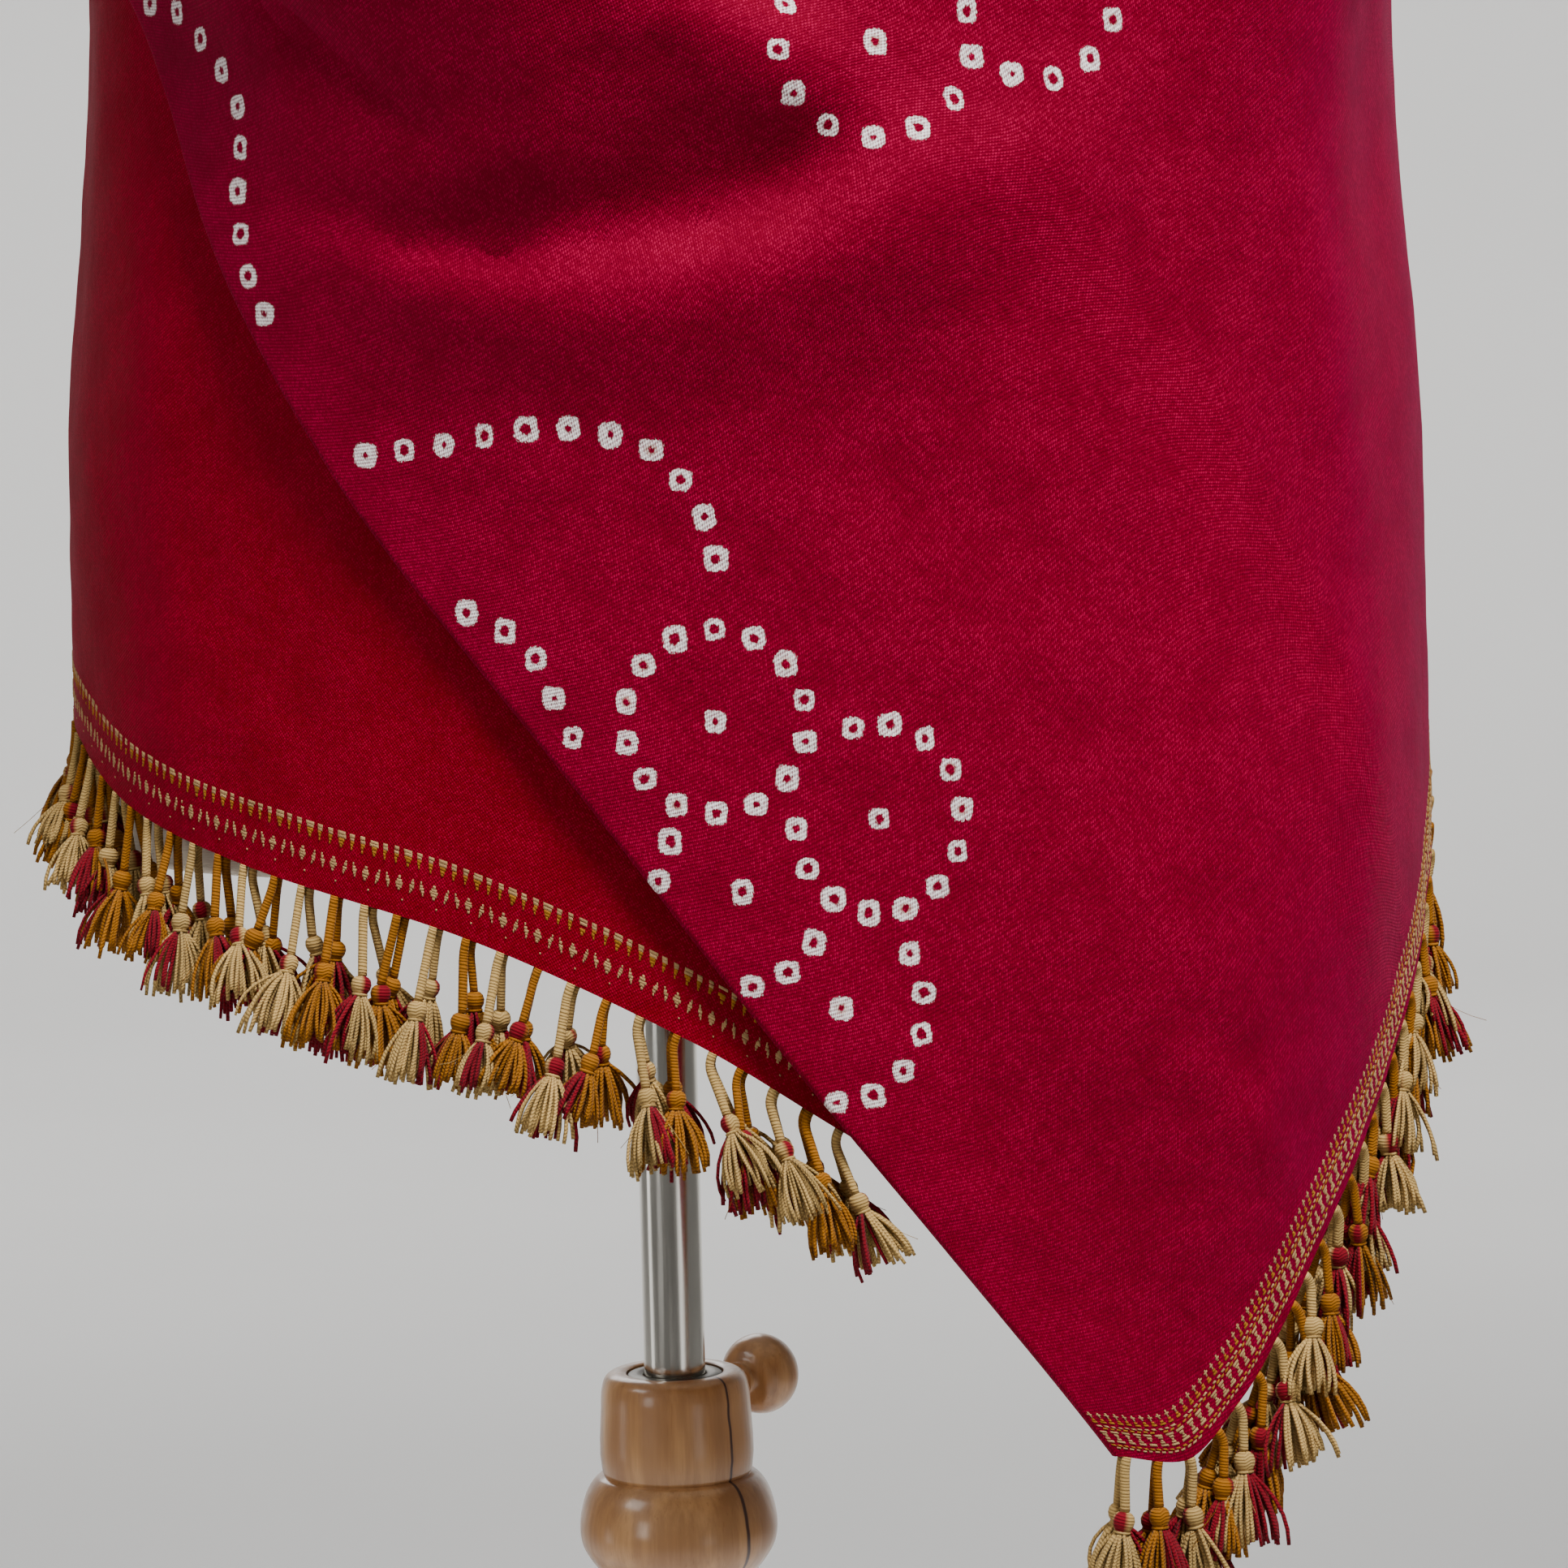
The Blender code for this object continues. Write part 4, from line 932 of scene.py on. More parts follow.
# Tassels: a wrapped cord, a ball head, a waist tie and a skirt of plied yarns
tasselLook = {
    "spacing": 0.0106, "cordRadius": 0.00128, "cordSides": 9, "cordPlaces": 13, "ease": 0.006,
    "head": 0.0052, "headRadius": 0.0028, "headSides": 12, "tie": 0.0006,
    "skirt": (0.0135, 0.0180), "yarns": 38, "yarnRadius": 0.00054, "yarnSides": 4, "yarnPlaces": 6,
    "yarnTaper": (0.9, 1, 1, 1, 1.05, 0.95), "flare": 0.48, "stray": 0.06, "sag": 5.6,
    "loose": 2, "looseRadius": 0.00011, "loosePlaces": 5,
}
tasselColours = {
    "cream": (0.52, 0.340, 0.115), "ochre": (0.34, 0.125, 0.005), "crimson": (0.21, 0.0, 0.010),
}
crimsonParts = {"shares": (0.14, 0.24, 0.36, 0.52), "chances": (0.28, 0.32, 0.24, 0.16)}
# The rear rows hang behind the front ones, from the inner ply. Lean is outwards, tuck inwards round the back.
fringes = {
    "overFringeFront": {
        "stretch": overStretch, "replaces": "fringe_over_front", "ply": 1, "lean": 0.05, "tuck": 0.6,
        "size": 1.12, "cord": (0.0125, 0.0170), "seed": 40, "sway": 7},
    "overFringeRear": {
        "stretch": overStretch, "replaces": "fringe_over_rear", "ply": -1, "lean": -0.22, "tuck": 0.6,
        "size": 1.05, "cord": (0.0120, 0.0160), "seed": 41, "sway": 7},
    "underFringeFront": {
        "stretch": underStretch, "replaces": "fringe_under_front", "ply": 1, "lean": 0.26, "tuck": 0.0,
        "size": 1.0, "cord": (0.0150, 0.0215), "seed": 42, "sway": 8},
    "underFringeRear": {
        "stretch": underStretch, "replaces": "fringe_under_rear", "ply": -1, "lean": -0.10, "tuck": 0.0,
        "size": 1.0, "cord": (0.0130, 0.0185), "seed": 43, "sway": 8},
}
headShape = table("run radius", (0.0, 0.35), (0.06, 0.62), (0.2, 0.88), (0.45, 1.0), (0.7, 0.92),
                  (0.88, 0.74), (1.0, 0.62))
tieShape = table("run radius", (-0.9, 0.60), (-0.35, 0.80), (0.35, 0.80), (0.9, 0.60))


goldenAngle = 2.39996   # in radians: each yarn of a skirt is turned this far past the last
downward = np.array([0, 0, -1.0])


def hemFrames(stretch, ply, along):
    # root, direction along the hem, direction off the cloth's end and outward normal
    middle = -plyThickness / 2
    total = hemLine(stretch, ply)[1][-1]
    root = hemPlace(stretch, ply, along, 0.0, middle)
    offEnd = root - hemPlace(stretch, ply, along, 0.004, middle)
    before = hemPlace(stretch, ply, np.clip(along - 0.002, 0, total), 0.0, middle)
    after = hemPlace(stretch, ply, np.clip(along + 0.002, 0, total), 0.0, middle)
    alongHem = unit(after - before)
    normal = unit(hemPlace(stretch, ply, along, 0.0, 0.002) - hemPlace(stretch, ply, along, 0.0)) * ply
    return root, alongHem, unit(offEnd - alongHem * dotted(offEnd, alongHem)), normal


def tubes(paths, radii, sides):
    # round tubes along paths, as points by tube, place and side; the frame turns as little as it can
    tangents = unit(np.gradient(paths, axis=1))
    first = tangents[:, 0]
    least = np.eye(3)[np.argmin(np.abs(first), axis=1)]
    sideways = [unit(np.cross(first, least))]
    for k in range(1, paths.shape[1]):
        sideways.append(unit(sideways[-1] - tangents[:, k] * dotted(sideways[-1], tangents[:, k])))
    sideways = np.stack(sideways, axis=1)
    other = np.cross(tangents, sideways)
    bearing = np.linspace(0, 2 * math.pi, sides, endpoint=False)[:, None]
    around = np.cos(bearing) * sideways[:, :, None] + np.sin(bearing) * other[:, :, None]
    return paths[:, :, None] + around * radii[:, :, None, None]


def newBundle():
    return {"points": [], "quads": [], "caps": [], "tints": [], "woven": [], "count": 0}


def addTubes(bundle, rings, tints, runs):
    # closed at both ends; tints and runs fit the rings' shape by tube, place and side
    count, places, sides = rings.shape[:3]
    starts = bundle["count"] + np.arange(count) * places * sides
    quads = gridFaces(places, sides, closed=True)[None] + starts[:, None, None]
    bundle["quads"].append(quads.reshape(-1, 4))
    cap = np.stack([starts[:, None] + np.arange(sides)[::-1],
                    starts[:, None] + (places - 1) * sides + np.arange(sides)])
    bundle["caps"].append(cap.reshape(-1, sides))
    bundle["points"].append(rings.reshape(-1, 3))
    bundle["tints"].append(np.broadcast_to(tints, (count, places, sides, 3)).reshape(-1, 3))
    around = np.broadcast_to(np.arange(sides) / sides, (count, places, sides))
    woven = np.stack([around, np.broadcast_to(runs, around.shape)], axis=-1)
    bundle["woven"].append(woven.reshape(-1, 2))
    bundle["count"] += count * places * sides


def finishBundle(name, bundle, material):
    faces = [np.concatenate(bundle["quads"])] + bundle["caps"]
    thing = meshFrom(name, np.concatenate(bundle["points"]), faces, material)
    setTints(thing, np.concatenate(bundle["tints"]))
    setUV(thing, np.concatenate(bundle["woven"]))
    return thing


def cordPaths(roots, offEnd, aim, lengths, places):
    # each cord leaves the hem straight, then falls towards its aim
    fine = 40
    path = [roots]
    for k in range(fine):
        share = np.minimum((k + 0.5) / fine * lengths / tasselLook["ease"], 1.0)[:, None]
        path.append(path[-1] + unit(offEnd * (1 - share) + aim * share) * (lengths / fine)[:, None])
    path = np.stack(path, axis=1)
    picked = np.linspace(0, fine, places).round().astype(int)
    return path[:, picked], unit(path[:, -1] - path[:, -3])


def isBetween(angle, middle, share):
    # true where an angle lies in a sector, a share of the whole turn wide
    return np.abs((angle - middle + math.pi) % (2 * math.pi) - math.pi) < share * math.pi


def placeTassels(look, rng):
    # where the tassels of a row hang, which way they fall, and their colours
    stretch, ply = look["stretch"], look["ply"]
    total = hemLine(stretch, ply)[1][-1]
    count = round(total / look["spacing"])
    each = (count, 1)
    along = (np.arange(count) + 0.30) * total / count + rng.normal(0, 0.0006, count)
    root, alongHem, offEnd, normal = hemFrames(stretch, ply, np.clip(along, 0.001, total - 0.001))
    outward, sideways = unit(normal * (1, 1, 0)), unit(alongHem * (1, 1, 0))
    # those round the back hang straight, or are tucked in
    facing = np.clip(0.2 - 2.6 * outward[:, 1:2], 0, 1)
    lean = look["lean"] * facing - look["tuck"] * (1 - facing) + rng.normal(0, 0.09, each)
    sway = np.random.default_rng(look["sway"]).normal(0, 0.17, each)
    aim = unit(downward + outward * lean + sideways * (sway + rng.normal(0, 0.04, each)))
    main = np.array([tasselColours["cream"], tasselColours["ochre"]])[np.arange(count) % 2]
    main = main * rng.uniform(0.88, 1.08, each)
    crimsonAt = rng.uniform(0, 2 * math.pi, count)[:, None]
    crimsonShare = rng.choice(crimsonParts["shares"], count, p=crimsonParts["chances"])[:, None]
    return {"count": count, "root": root, "offEnd": offEnd, "outward": outward, "sideways": sideways,
            "aim": aim, "main": main, "crimsonAt": crimsonAt, "crimsonShare": crimsonShare}


def addCords(bundle, row, look, rng):
    places, each = look["cordPlaces"], (row["count"], 1)
    lengths = rng.uniform(*look["cord"], row["count"])
    cords, axis = cordPaths(row["root"], row["offEnd"], row["aim"], lengths, places)
    runs = np.linspace(0, 1, places) * lengths[:, None]
    radii = look["cordRadius"] * rng.uniform(0.92, 1.06, each) * np.ones(places)
    addTubes(bundle, tubes(cords, radii, look["cordSides"]), row["main"][:, None, None], runs[..., None])
    axis = axis + row["sideways"] * rng.normal(0, 0.10, each) + row["outward"] * rng.normal(0, 0.08, each)
    row["end"], row["axis"] = cords[:, -1:], unit(axis)


def addHeads(bundle, row, look, rng):
    # a ball with a patch of crimson, and the tie below it
    sides, each, main = look["headSides"], (row["count"], 1), row["main"][:, None, None]
    runs = (headShape["run"] * look["head"])[:, None]
    heads = row["end"] + row["axis"][:, None] * runs
    radii = look["headRadius"] * rng.uniform(0.92, 1.10, each) * headShape["radius"]
    bearing = np.linspace(0, 2 * math.pi, sides, endpoint=False)
    inPatch = isBetween(bearing, row["crimsonAt"], row["crimsonShare"] * 0.8)[:, None, :, None]
    tint = np.where(inPatch, tasselColours["crimson"], main)
    addTubes(bundle, tubes(heads, radii, sides), tint, runs)
    row["waist"] = heads[:, -1]
    ties = row["waist"][:, None] + row["axis"][:, None] * (tieShape["run"] * look["tie"])[:, None]
    radii = look["headRadius"] * tieShape["radius"] * np.ones(each)
    addTubes(bundle, tubes(ties, radii, sides), main * 0.9, 0.0)


def offAxis(row, angles):
    # unit steps away from each tassel's axis, at angles round it
    reference = unit(np.cross(row["axis"], row["outward"] + 0.01))
    other = np.cross(row["axis"], reference)
    return np.cos(angles)[..., None] * reference[:, None] + np.sin(angles)[..., None] * other[:, None]


def addSkirts(bundle, row, look, rng):
    # yarns spread evenly over the waist, which droop as they flare
    count, yarns, places = row["count"], look["yarns"], look["yarnPlaces"]
    each, every, share = (count, 1), (count, yarns), np.linspace(0, 1, places)
    angles = np.arange(yarns) * goldenAngle + rng.uniform(0, 6.28, each) + rng.normal(0, 0.2, every)
    ring = np.sqrt((np.arange(yarns) + 0.6) / yarns) * np.ones(each)
    flare = look["flare"] * rng.uniform(0.78, 1.18, each) * ring * rng.uniform(0.88, 1.12, every)
    flare = np.where(rng.random(every) < look["stray"], flare * 1.6, flare)
    run = rng.uniform(*look["skirt"], each) * look["size"] * rng.uniform(0.90, 1.04, every)
    run = run[..., None] * share
    reach = look["headRadius"] * 0.50 * ring[..., None] + flare[..., None] * run * (1.85 - 0.90 * share)
    reach = reach + np.sin(share * math.pi) * rng.normal(0, 0.0006, (*every, 1))
    drop = look["sag"] * run**2 * flare[..., None]
    curl = rng.normal(0, 0.0008, (*every, 1, 3)) * (share**2)[:, None]
    paths = row["waist"][:, None, None] + row["axis"][:, None, None] * run[..., None]
    paths = paths + offAxis(row, angles)[:, :, None] * reach[..., None] + downward * drop[..., None] + curl
    paths = paths.reshape(count * yarns, places, 3)
    radii = look["yarnRadius"] * rng.uniform(0.85, 1.15, (count * yarns, 1)) * look["yarnTaper"]
    inPatch = isBetween(angles, row["crimsonAt"], row["crimsonShare"])[..., None]
    tint = np.where(inPatch, tasselColours["crimson"], row["main"][:, None])
    tint = tint * rng.uniform(0.80, 1.15, (*every, 1))
    skirts = tubes(paths, radii, look["yarnSides"])
    addTubes(bundle, skirts, tint.reshape(-1, 1, 1, 3), run.reshape(-1, places, 1))


def addLooseHairs(bundle, row, look, rng):
    count, loose, places = row["count"], look["loose"], look["loosePlaces"]
    share = np.linspace(0, 1, places)
    run = rng.uniform(0.008, 0.016, (count, loose, 1)) * share
    reach = (0.0015 + 0.60 * run)[..., None]
    spreadOut = offAxis(row, rng.uniform(0, 6.28, (count, loose)))[:, :, None] * reach
    curl = rng.normal(0, 0.0025, (count, loose, 1, 3)) * (share**2)[:, None]
    paths = row["waist"][:, None, None] + row["axis"][:, None, None] * run[..., None] + spreadOut + curl
    paths = paths.reshape(count * loose, places, 3)
    hairs = tubes(paths, np.full(paths.shape[:2], look["looseRadius"]), 3)
    tint = np.repeat(row["main"], loose, axis=0)[:, None, None]
    addTubes(bundle, hairs, tint, run.reshape(-1, places, 1))


def makeFringe(name, fringe, material):
    rng = np.random.default_rng(fringe["seed"])
    look = tasselLook | fringe
    for part in ("cordRadius", "head", "headRadius", "yarnRadius"):
        look[part] *= look["size"]
    row, bundle = placeTassels(look, rng), newBundle()
    addCords(bundle, row, look, rng)
    addHeads(bundle, row, look, rng)
    addSkirts(bundle, row, look, rng)
    addLooseHairs(bundle, row, look, rng)
    return finishBundle(name, bundle, material)


def makeYarnMaterial(name, twist):
    # plied yarn: slanting stripes along each tube, their darker bands painted shade in the grooves of the
    # twist
    material, tree, shader = newMaterial(name, 0.80, Sheen_Weight=0.04, Specular_IOR_Level=0.12)
    colour = attribute(tree, "yarn", "Color")
    place = objectPlace(tree)
    if twist:
        woven = partsOf(wovenPlace(tree))
        turns = plus(times(woven[1], 1 / twist), woven[0])
        stripe = ramp(calc("SINE", times(turns, 2 * math.pi)), -1.0, 0.6)
    else:
        stripe = noise(place, 2200, 2, 0.5)
    fibre = noise(place, 2600, 3, 0.7)
    # dark is the yarn in painted shade; without a twist, as for the border thread, the noise and fibre give
    # random darker tone instead
    dark = mixColours(1.0, colour, (0.42, 0.36, 0.32, 1), "MULTIPLY")
    lit = weighed((stripe, 0.50), (fibre, 0.60))
    tree.links.new(mixColours(lit, dark, colour), shader.inputs["Base Color"])
    addBump(shader, plus(stripe, times(fibre, 0.5)), 0.00018, 0.9)
    return material


# Dress form: a cream cloth cover over the torso
formRings = table(
    "level zFront zSide halfWidth depthFront depthBack",
    (0.7790, 0.7790, 0.7790, 0.1600, 0.1180, 0.1090),
    (0.7815, 0.7815, 0.7815, 0.1645, 0.1225, 0.1130),
    (0.7880, 0.7880, 0.7880, 0.1665, 0.1240, 0.1145),
    (0.8600, 0.8600, 0.8600, 0.1680, 0.1250, 0.1170),
    (0.9300, 0.9300, 0.9300, 0.1520, 0.1110, 0.1020),
    (1.0000, 1.0000, 1.0000, 0.1310, 0.0960, 0.0860),
    (1.0700, 1.0700, 1.0700, 0.1340, 0.1010, 0.0880),
    (1.1550, 1.1550, 1.1550, 0.1500, 0.1230, 0.0990),
    (1.2100, 1.2100, 1.2080, 0.1630, 0.1150, 0.1030),
    (1.2600, 1.2590, 1.2560, 0.1730, 0.1060, 0.1060),
    (1.3200, 1.3130, 1.3000, 0.1762, 0.0985, 0.1030),
    (1.3700, 1.3550, 1.3360, 0.1580, 0.0900, 0.0940),
    (1.4100, 1.3850, 1.3650, 0.1210, 0.0800, 0.0830),
    (1.4300, 1.4000, 1.3850, 0.0880, 0.0690, 0.0710),
    (1.4500, 1.4160, 1.4060, 0.0660, 0.0600, 0.0610),
    (1.4700, 1.4370, 1.4320, 0.0560, 0.0555, 0.0560),
    (1.5000, 1.4700, 1.4700, 0.0530, 0.0530, 0.0530),
)
coverLook = {
    "sides": 160, "colour": (0.74, 0.67, 0.56), "gather": 0.0070, "gatherFrom": 0.789, "gatherFade": 0.022,
    "socket": 0.0098, "socketTop": 0.800, "socketRim": 0.775, "rim": 0.779,
}


def makeCover(material):
    look = coverLook
    levels = spread((look["rim"], 0.7815, 3), (0.7815, 0.80, 8), (0.80, 1.5, 84))[:, None]
    turns = np.linspace(0, 2 * math.pi, look["sides"], endpoint=False)
    sine, cosine = np.sin(turns), np.cos(turns)
    rng = random.Random(5)
    gathers = sum(rng.uniform(0.2, 0.45) * np.sin(turns * rng.randint(14, 46) + rng.uniform(0, 6.28))
                  for k in range(6))
    fade = np.exp(-np.maximum(levels - look["gatherFrom"], 0) / look["gatherFade"])
    swell = 1 + look["gather"] * fade * np.clip((levels - look["rim"]) / 0.006, 0, 1) * gathers
    points = ringPlace(formRings, sine, cosine, levels, swell)
    socket = [np.stack([look["socket"] * sine, -look["socket"] * cosine, np.full_like(turns, z)], axis=-1)
              for z in (look["socketTop"], look["socketRim"])]
    points = np.concatenate([np.stack(socket), points], axis=0)
    faces = gridFaces(len(points), look["sides"], closed=True)
    thing = meshFrom("formCover", points.reshape(-1, 3), [faces], material)
    pick(thing)
    bpy.ops.object.mode_set(mode="EDIT")
    bpy.ops.mesh.select_all(action="SELECT")
    bpy.ops.mesh.fill_holes(sides=0)
    bpy.ops.mesh.normals_make_consistent(inside=False)
    bpy.ops.object.mode_set(mode="OBJECT")
    smoothBelow(thing, 45)
    return thing


def makeCoverMaterial():
    material, tree, shader = newMaterial("creamCover", 0.9, Sheen_Weight=0.1)
    place = objectPlace(tree)
    weave = addNode(tree, "TexWave", {"bands_direction": "Z"}, {
        "Vector": place, "Scale": 420, "Distortion": 3.0, "Detail": 2.0, "Detail Scale": 2.0}).outputs[1]
    patch = noise(place, 14, 4, 0.6)
    fine = noise(place, 700, 3, 0.6)
    base = coverLook["colour"]
    colour = mixColours(ramp(patch, 0.3, 0.7), (*[c * 0.86 for c in base], 1), (*base, 1))
    colour = mixColours(times(fine, 0.25), colour, (0.45, 0.38, 0.30, 1))
    tree.links.new(colour, shader.inputs["Base Color"])
    addBump(shader, plus(weave, fine), 0.00015, 0.6)
    return material


# Stand

woodLook = {
    "light": (0.585, 0.315, 0.130), "dark": (0.450, 0.222, 0.083), "streak": (0.260, 0.108, 0.036),
    "roughness": (0.42, 0.28), "varnish": 0.5, "varnishRoughness": 0.14,
}
splitLook = {   # the crack down the post's head: its bearing, the post's radius there and where it ends
    "bearing": 46.0, "radius": 0.0234, "halfWidth": 0.0005, "wander": 0.0022, "low": 0.554,
    "colour": (0.050, 0.012, 0.006),
}


def makeWoodMaterial(name, look, split=None):
    material, tree, shader = newMaterial(
        name, 0.34, Coat_Weight=look["varnish"], Coat_Roughness=look["varnishRoughness"])
    place = objectPlace(tree)
    light, dark, streak = ((*look[tone], 1) for tone in ("light", "dark", "streak"))
    grain = noise(mapping(place, (1, 1, 0.05)), 190, 5, 0.62)
    rings = addNode(tree, "TexWave", {"wave_type": "RINGS", "rings_direction": "Y"}, {
        "Vector": mapping(place, (1, 1, 0.12)), "Scale": 34, "Distortion": 5.0, "Detail": 3.0,
        "Detail Scale": 1.2}).outputs[1]
    pores = noise(mapping(place, (1, 1, 0.04)), 900, 2, 0.5)
    colour = mixColours(ramp(rings, 0.1, 0.95), dark, light)
    colour = mixColours(ramp(grain, 0.38, 0.68, 0.55, 0.0), colour, streak)
    colour = mixColours(ramp(pores, 0.62, 0.72, 0.0, 0.35), colour, streak)
    if split:
        x, y, z = partsOf(place)
        bearing = calc("ARCTAN2", x, times(y, -1.0))
        off = times(minus(bearing, math.radians(split["bearing"])), split["radius"])
        off = plus(off, times(minus(noise(place, 60, 2, 0.5), 0.5), split["wander"]))
        half, low = split["halfWidth"], split["low"]
        line = times(ramp(calc("ABSOLUTE", off), half * 0.5, half * 1.5, 1.0, 0.0),
                     ramp(z, low - 0.001, low + 0.001))
        colour = mixColours(line, colour, (*split["colour"], 1))
    tree.links.new(colour, shader.inputs["Base Color"])
    tree.links.new(ramp(grain, 0.3, 0.7, *look["roughness"]), shader.inputs["Roughness"])
    addBump(shader, plus(grain, times(pores, 0.4)), 0.0002, 0.25)
    return material


chromeLook = {"colour": (0.80, 0.77, 0.70, 1), "polish": (0.12, 0.24)}
# near-black metal, painted shade for the gap round the pole; its two tones vary at random
gapShadeLook = {"dark": (0.045, 0.040, 0.034, 1), "pale": (0.13, 0.12, 0.10, 1), "roughness": 0.38}


def makeChrome():
    # drawn tube, its scratches along it
    material, tree, shader = newMaterial("polishedMetal", 0.16, 1.0, Base_Color=chromeLook["colour"])
    scratch = noise(mapping(objectPlace(tree), (1, 1, 0.02)), 600, 3, 0.6)
    tree.links.new(ramp(scratch, 0.3, 0.7, *chromeLook["polish"]), shader.inputs["Roughness"])
    return material


def makeGapShade():
    material, tree, shader = newMaterial("gapShadeMetal", gapShadeLook["roughness"], 1.0)
    shadeTone = noise(objectPlace(tree), 420, 3, 0.6)
    tree.links.new(mixColours(shadeTone, gapShadeLook["dark"], gapShadeLook["pale"]), shader.inputs["Base Color"])
    return material


postLook = {
    "top": 0.614, "bottom": 0.15, "bore": 0.0098, "boreBottom": 0.235, "seat": 0.0152, "seatDepth": 0.0016,
}
poleLook = {"radius": 0.0095, "top": 0.7965, "bottom": 0.36, "collar": 0.016, "collarTop": 0.7664}
flangeLook = {"radius": 0.034, "top": 0.7747, "bore": 0.0098, "gap": 0.0003}
knobLook = {
    "bearing": 55.6, "height": 0.6045, "start": 0.033, "end": 0.0575, "radius": 0.0128, "neck": 0.0058,
    "screw": 0.003, "screwStart": 0.0098, "screwEnd": 0.045, "play": 0.0003,
}


def makePost(material):
    # the bore, the seat of the dark ring, the head, the bead, the vase, the ring below it and the leg block
    top, bore, boreBottom = postLook["top"], postLook["bore"], postLook["boreBottom"]
    seat, depth = postLook["seat"], postLook["seatDepth"]
    profile = [
        (0, boreBottom, 0), (bore, boreBottom, 0), (bore, top - depth, 0), (seat, top - depth, 0),
        (seat, top - 0.0003, 0), (seat + 0.0006, top), (0.0195, top), (0.0217, top - 0.0014),
        (0.0229, top - 0.0048), (0.0233, top - 0.0105), (0.0234, 0.5835), (0.0229, 0.5822, 0),
        (0.025, 0.5812), (0.028, 0.5775), (0.0301, 0.5712), (0.0308, 0.5651), (0.03, 0.5602),
        (0.0276, 0.5558), (0.0246, 0.552, 0), (0.024, 0.547), (0.0232, 0.53, 0), (0.0205, 0.524),
        (0.019, 0.518), (0.0205, 0.512), (0.0255, 0.495), (0.0272, 0.475), (0.0262, 0.448), (0.0222, 0.412),
        (0.0185, 0.375), (0.0172, 0.348), (0.018, 0.325, 0), (0.0225, 0.316), (0.024, 0.308), (0.0225, 0.3),
        (0.0205, 0.296, 0), (0.0225, 0.285), (0.03, 0.278, 0), (0.03, 0.176, 0), (0.027, 0.17),
        (0.016, 0.166, 0), (0.019, 0.16), (0.015, 0.1525), (0, postLook["bottom"])]
    return turnPiece("turnedPost", profile, material, 96, 4)


def makeShadowRing(material):
    # a near-black metal ring let into the top of the post round the pole: painted shade, standing for the
    # shadow in the gap there
    outer, inner = postLook["seat"] - 0.0003, postLook["bore"] + 0.0002
    low, high = postLook["top"] - postLook["seatDepth"] + 0.0001, postLook["top"] - 0.0006
    profile = [(inner, high - 0.0004, 0), (inner + 0.0004, high), (outer - 0.0006, high),
               (outer, high - 0.0005, 0), (outer, low, 0), (inner, low, 0), (inner, high - 0.0004, 0)]
    return turnPiece("shadowRing", profile, material, 72, 2)


def makePole(material):
    radius, top, bottom = poleLook["radius"], poleLook["top"], poleLook["bottom"]
    collar, collarTop = poleLook["collar"], poleLook["collarTop"]
    profile = [(0, top, 0), (radius - 0.001, top), (radius, top - 0.001, 0), (radius, collarTop, 0),
               (collar - 0.0005, collarTop, 0), (collar, collarTop - 0.0005, 0),
               (collar, collarTop - 0.012, 0), (collar - 0.0015, collarTop - 0.0145, 0),
               (radius, collarTop - 0.0145, 0),
               (radius, bottom + 0.001, 0), (radius - 0.001, bottom, 0), (0, bottom, 0)]
    return turnPiece("polishedTube", profile, material, 64, 1)


def makeFlange(material):
    radius, top, bore = flangeLook["radius"], flangeLook["top"], flangeLook["bore"]
    bottom = poleLook["collarTop"] + flangeLook["gap"]
    profile = [(bore, top, 0), (radius - 0.002, top), (radius - 0.0004, top - 0.0006),
               (radius, top - 0.0016, 0), (radius, bottom + 0.002, 0), (radius - 0.0005, bottom + 0.0007),
               (radius - 0.002, bottom, 0), (bore, bottom, 0), (bore, top, 0)]
    return turnPiece("formFlange", profile, material, 72, 2)


def makeNeckCap(material):
    profile = [(0, 1.5160), (0.0065, 1.5148), (0.0108, 1.5085), (0.0090, 1.5030), (0.0070, 1.4995, 0),
               (0.0300, 1.4970), (0.0490, 1.4925), (0.0550, 1.4830), (0.0535, 1.4750, 0), (0.0505, 1.4725, 0),
               (0.0505, 1.4703, 0), (0, 1.4703, 0)]
    return turnPiece("neckKnob", profile, material, 96, 4)


def makeKnob(wood, steel):
    look = knobLook
    start, end, screw = look["start"], look["end"], look["screw"]
    screwStart, screwEnd = look["screwStart"], look["screwEnd"]
    turn = math.radians(look["bearing"])
    facing = Vector((math.cos(turn), math.sin(turn), 0)).to_track_quat("Z", "Y").to_matrix().to_4x4()
    place = Matrix.Translation((0, 0, look["height"])) @ facing
    shank = [(0, screwEnd, 0), (screw, screwEnd, 0), (screw, screwStart + 0.0005, 0),
             (screw - 0.0005, screwStart, 0), (0, screwStart, 0)]
    shank = turnPiece("screwShank", shank, steel, 32, 1, place=place)
    middle, half = (start + end) / 2 + 0.001, (end - start) / 2 - 0.001
    ball = []
    for k in range(8):
        bend = math.radians(90 - k * 22.5)
        ball.append((look["radius"] * math.cos(bend) if k else 0, middle + half * math.sin(bend)))
    neck, socket = look["neck"], screw + look["play"]
    socketEnd = screwEnd + look["play"]
    ball += [(neck, start + 0.0012, 0), (neck, start, 0), (socket, start, 0), (socket, socketEnd, 0),
             (0, socketEnd, 0)]
    return shank, turnPiece("ballKnob", ball, wood, 72, 4, place=place)


stageLook = {"floor": 5.0, "wall": 7.1, "height": 5.5}


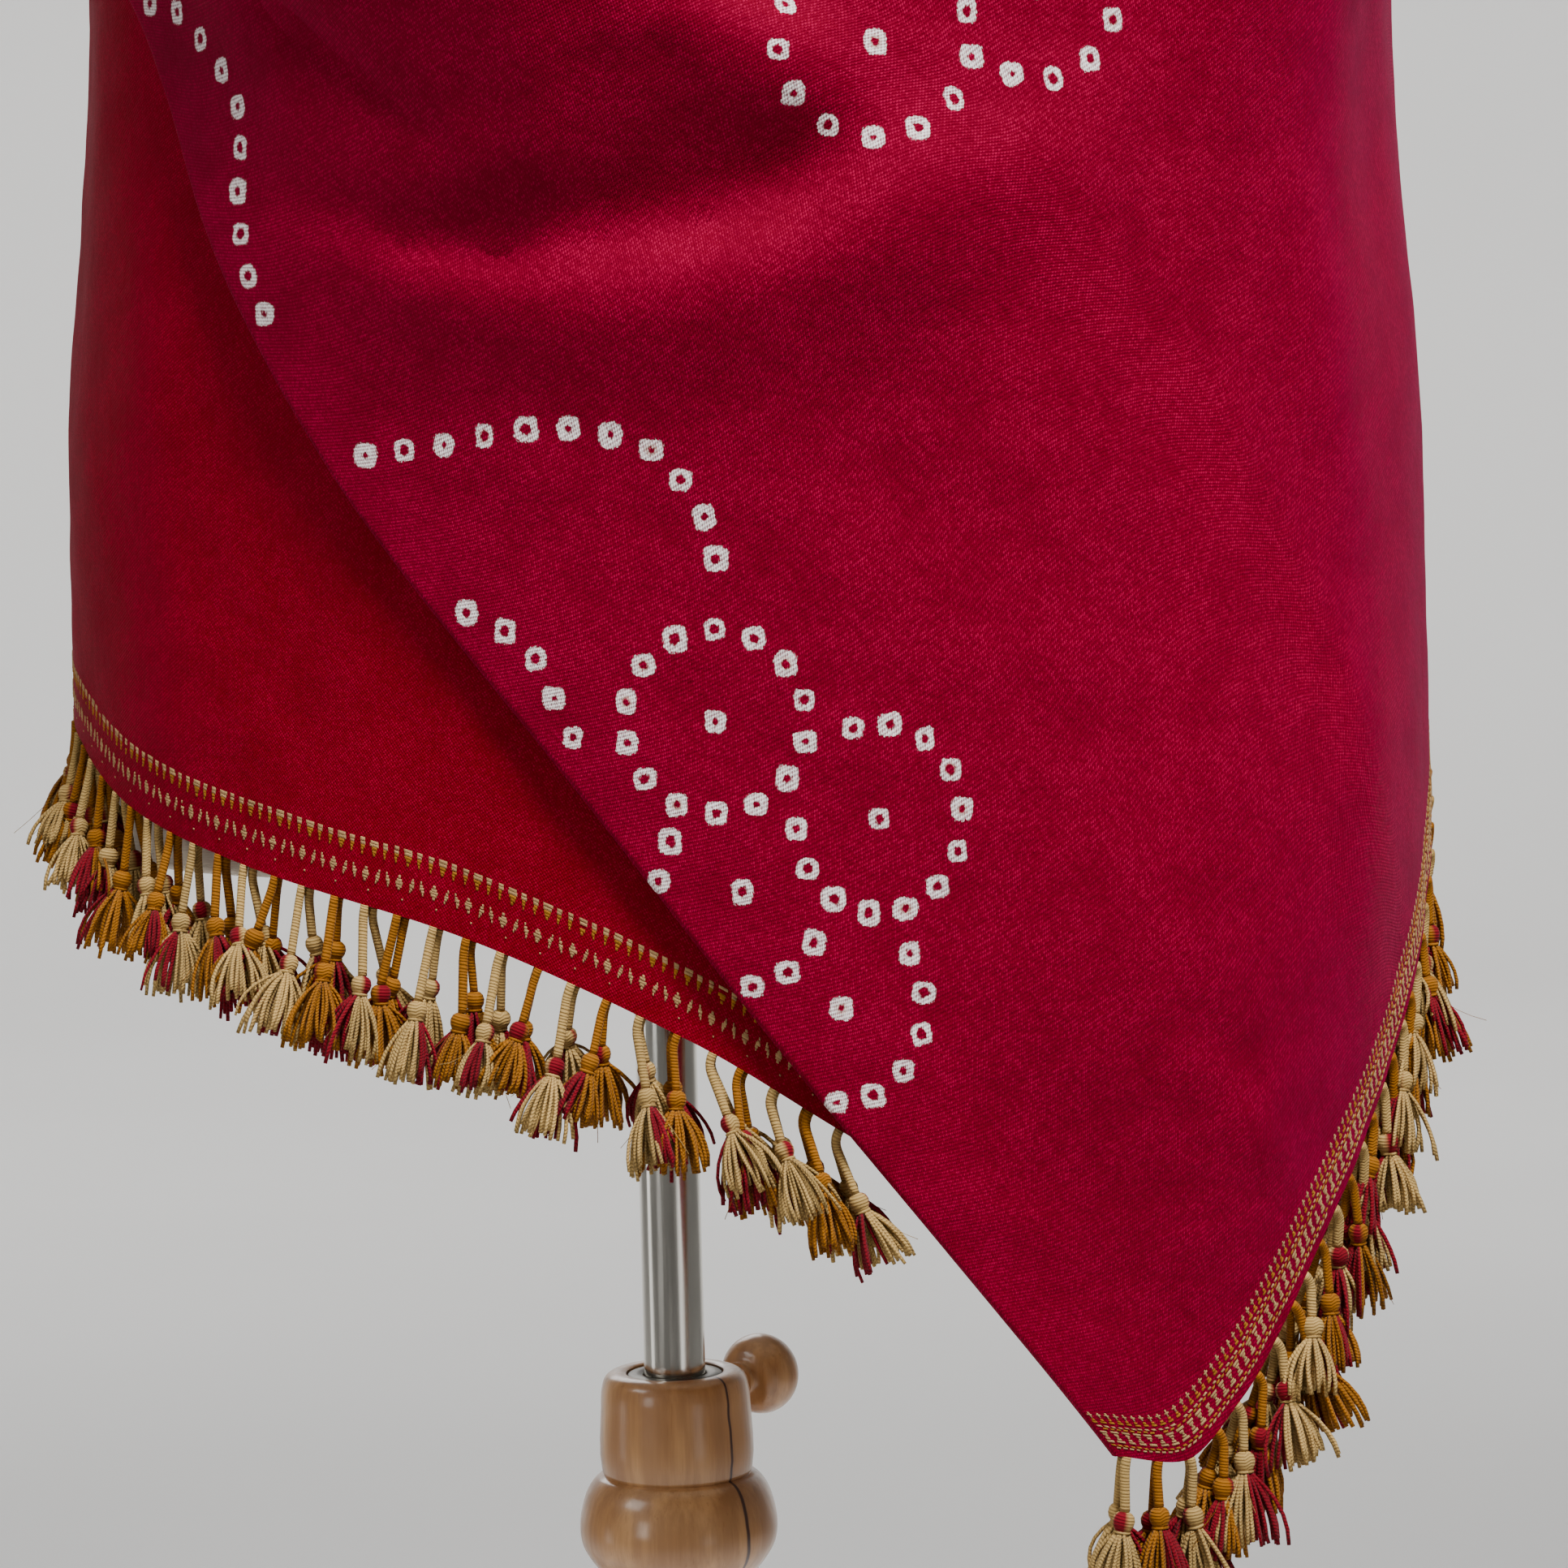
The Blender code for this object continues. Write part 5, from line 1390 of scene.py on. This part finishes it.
def makeStage():
    material, tree, shader = newMaterial("paleBackdrop", 0.95)
    tone = noise(objectPlace(tree), 1.2, 3, 0.5)
    colour = mixColours(tone, (0.74, 0.73, 0.715, 1), (0.80, 0.79, 0.775, 1))
    tree.links.new(colour, shader.inputs["Base Color"])
    floor, wall = stageLook["floor"], stageLook["wall"]
    outline = [(floor, 0.0), (wall - 0.9, 0.25), (wall - 0.1, 1.4), (wall, stageLook["height"])]
    clearSelection()
    bpy.ops.mesh.primitive_circle_add(vertices=96, radius=floor, fill_type="NGON")
    backdrop = bpy.context.object
    backdrop.name = "backdrop"
    bpy.ops.object.mode_set(mode="EDIT")
    bpy.ops.mesh.select_all(action="DESELECT")
    bpy.ops.mesh.select_non_manifold()
    extrudeRings(roundedOutline(outline, 8))
    bpy.ops.object.mode_set(mode="OBJECT")
    backdrop.data.materials.append(material)
    smoothBelow(backdrop, 60)


def ridePiece(thing, body, slot, *replaced):
    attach(thing, body)
    if replaced:
        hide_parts(*replaced)
    print(thing.name, "made,", triangles(thing), "triangles")


makeCamera()
makeLights()
makeStage()
print("camera, lights and backdrop made")

wools = {"face": makeWool("wool", woolLook), "reverseShaded": makeWool("woolReverseShaded", reverseShadedLook)}
made = {}
for name, sheet in sheets.items():
    made[name] = makeSheet(name, sheet, wools[sheet["look"]])
    markDots(made[name], dotPlaces() if name == "overCloth" else [], Vector(cameraView["place"]))
    ridePiece(made[name], "form", "wool_cloth", sheet["replaces"])

yarn, thread = makeYarnMaterial("tasselYarn", 0.0009), makeYarnMaterial("borderYarn", None)
for name, border in borders.items():
    made[name] = makeBorder(name, border, thread)
    ridePiece(made[name], "form", "tassel_yarn")
for name, fringe in fringes.items():
    made[name] = makeFringe(name, fringe, yarn)
    ridePiece(made[name], "form", "tassel_yarn", fringe["replaces"])

made["formCover"] = makeCover(makeCoverMaterial())
ridePiece(made["formCover"], "form", "form_cover", "torso")
wood = makeWoodMaterial("varnishedWood", woodLook)
chrome = makeChrome()
ridePiece(makePost(makeWoodMaterial("splitWood", woodLook, splitLook)), "stand", "stand_wood", "stand_post")
ridePiece(makeShadowRing(makeGapShade()), "stand", "pole_metal")
ridePiece(makePole(chrome), "mast", "pole_metal", "pole")
ridePiece(makeFlange(chrome), "form", "screw_steel", "form_flange")
ridePiece(makeNeckCap(wood), "form", "stand_wood", "neck_cap")
screw, knob = makeKnob(wood, chrome)
ridePiece(screw, "knob", "screw_steel", "clamp_screw")
ridePiece(knob, "knob", "stand_wood", "clamp_knob")
for node in ("leg_1", "leg_2", "leg_3", "leg_4"):
    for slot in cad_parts[node].material_slots:
        slot.material = wood
print("form and stand made")

for name, sheet in sheets.items():
    print(name, round(sheet["length"], 3), "m long")
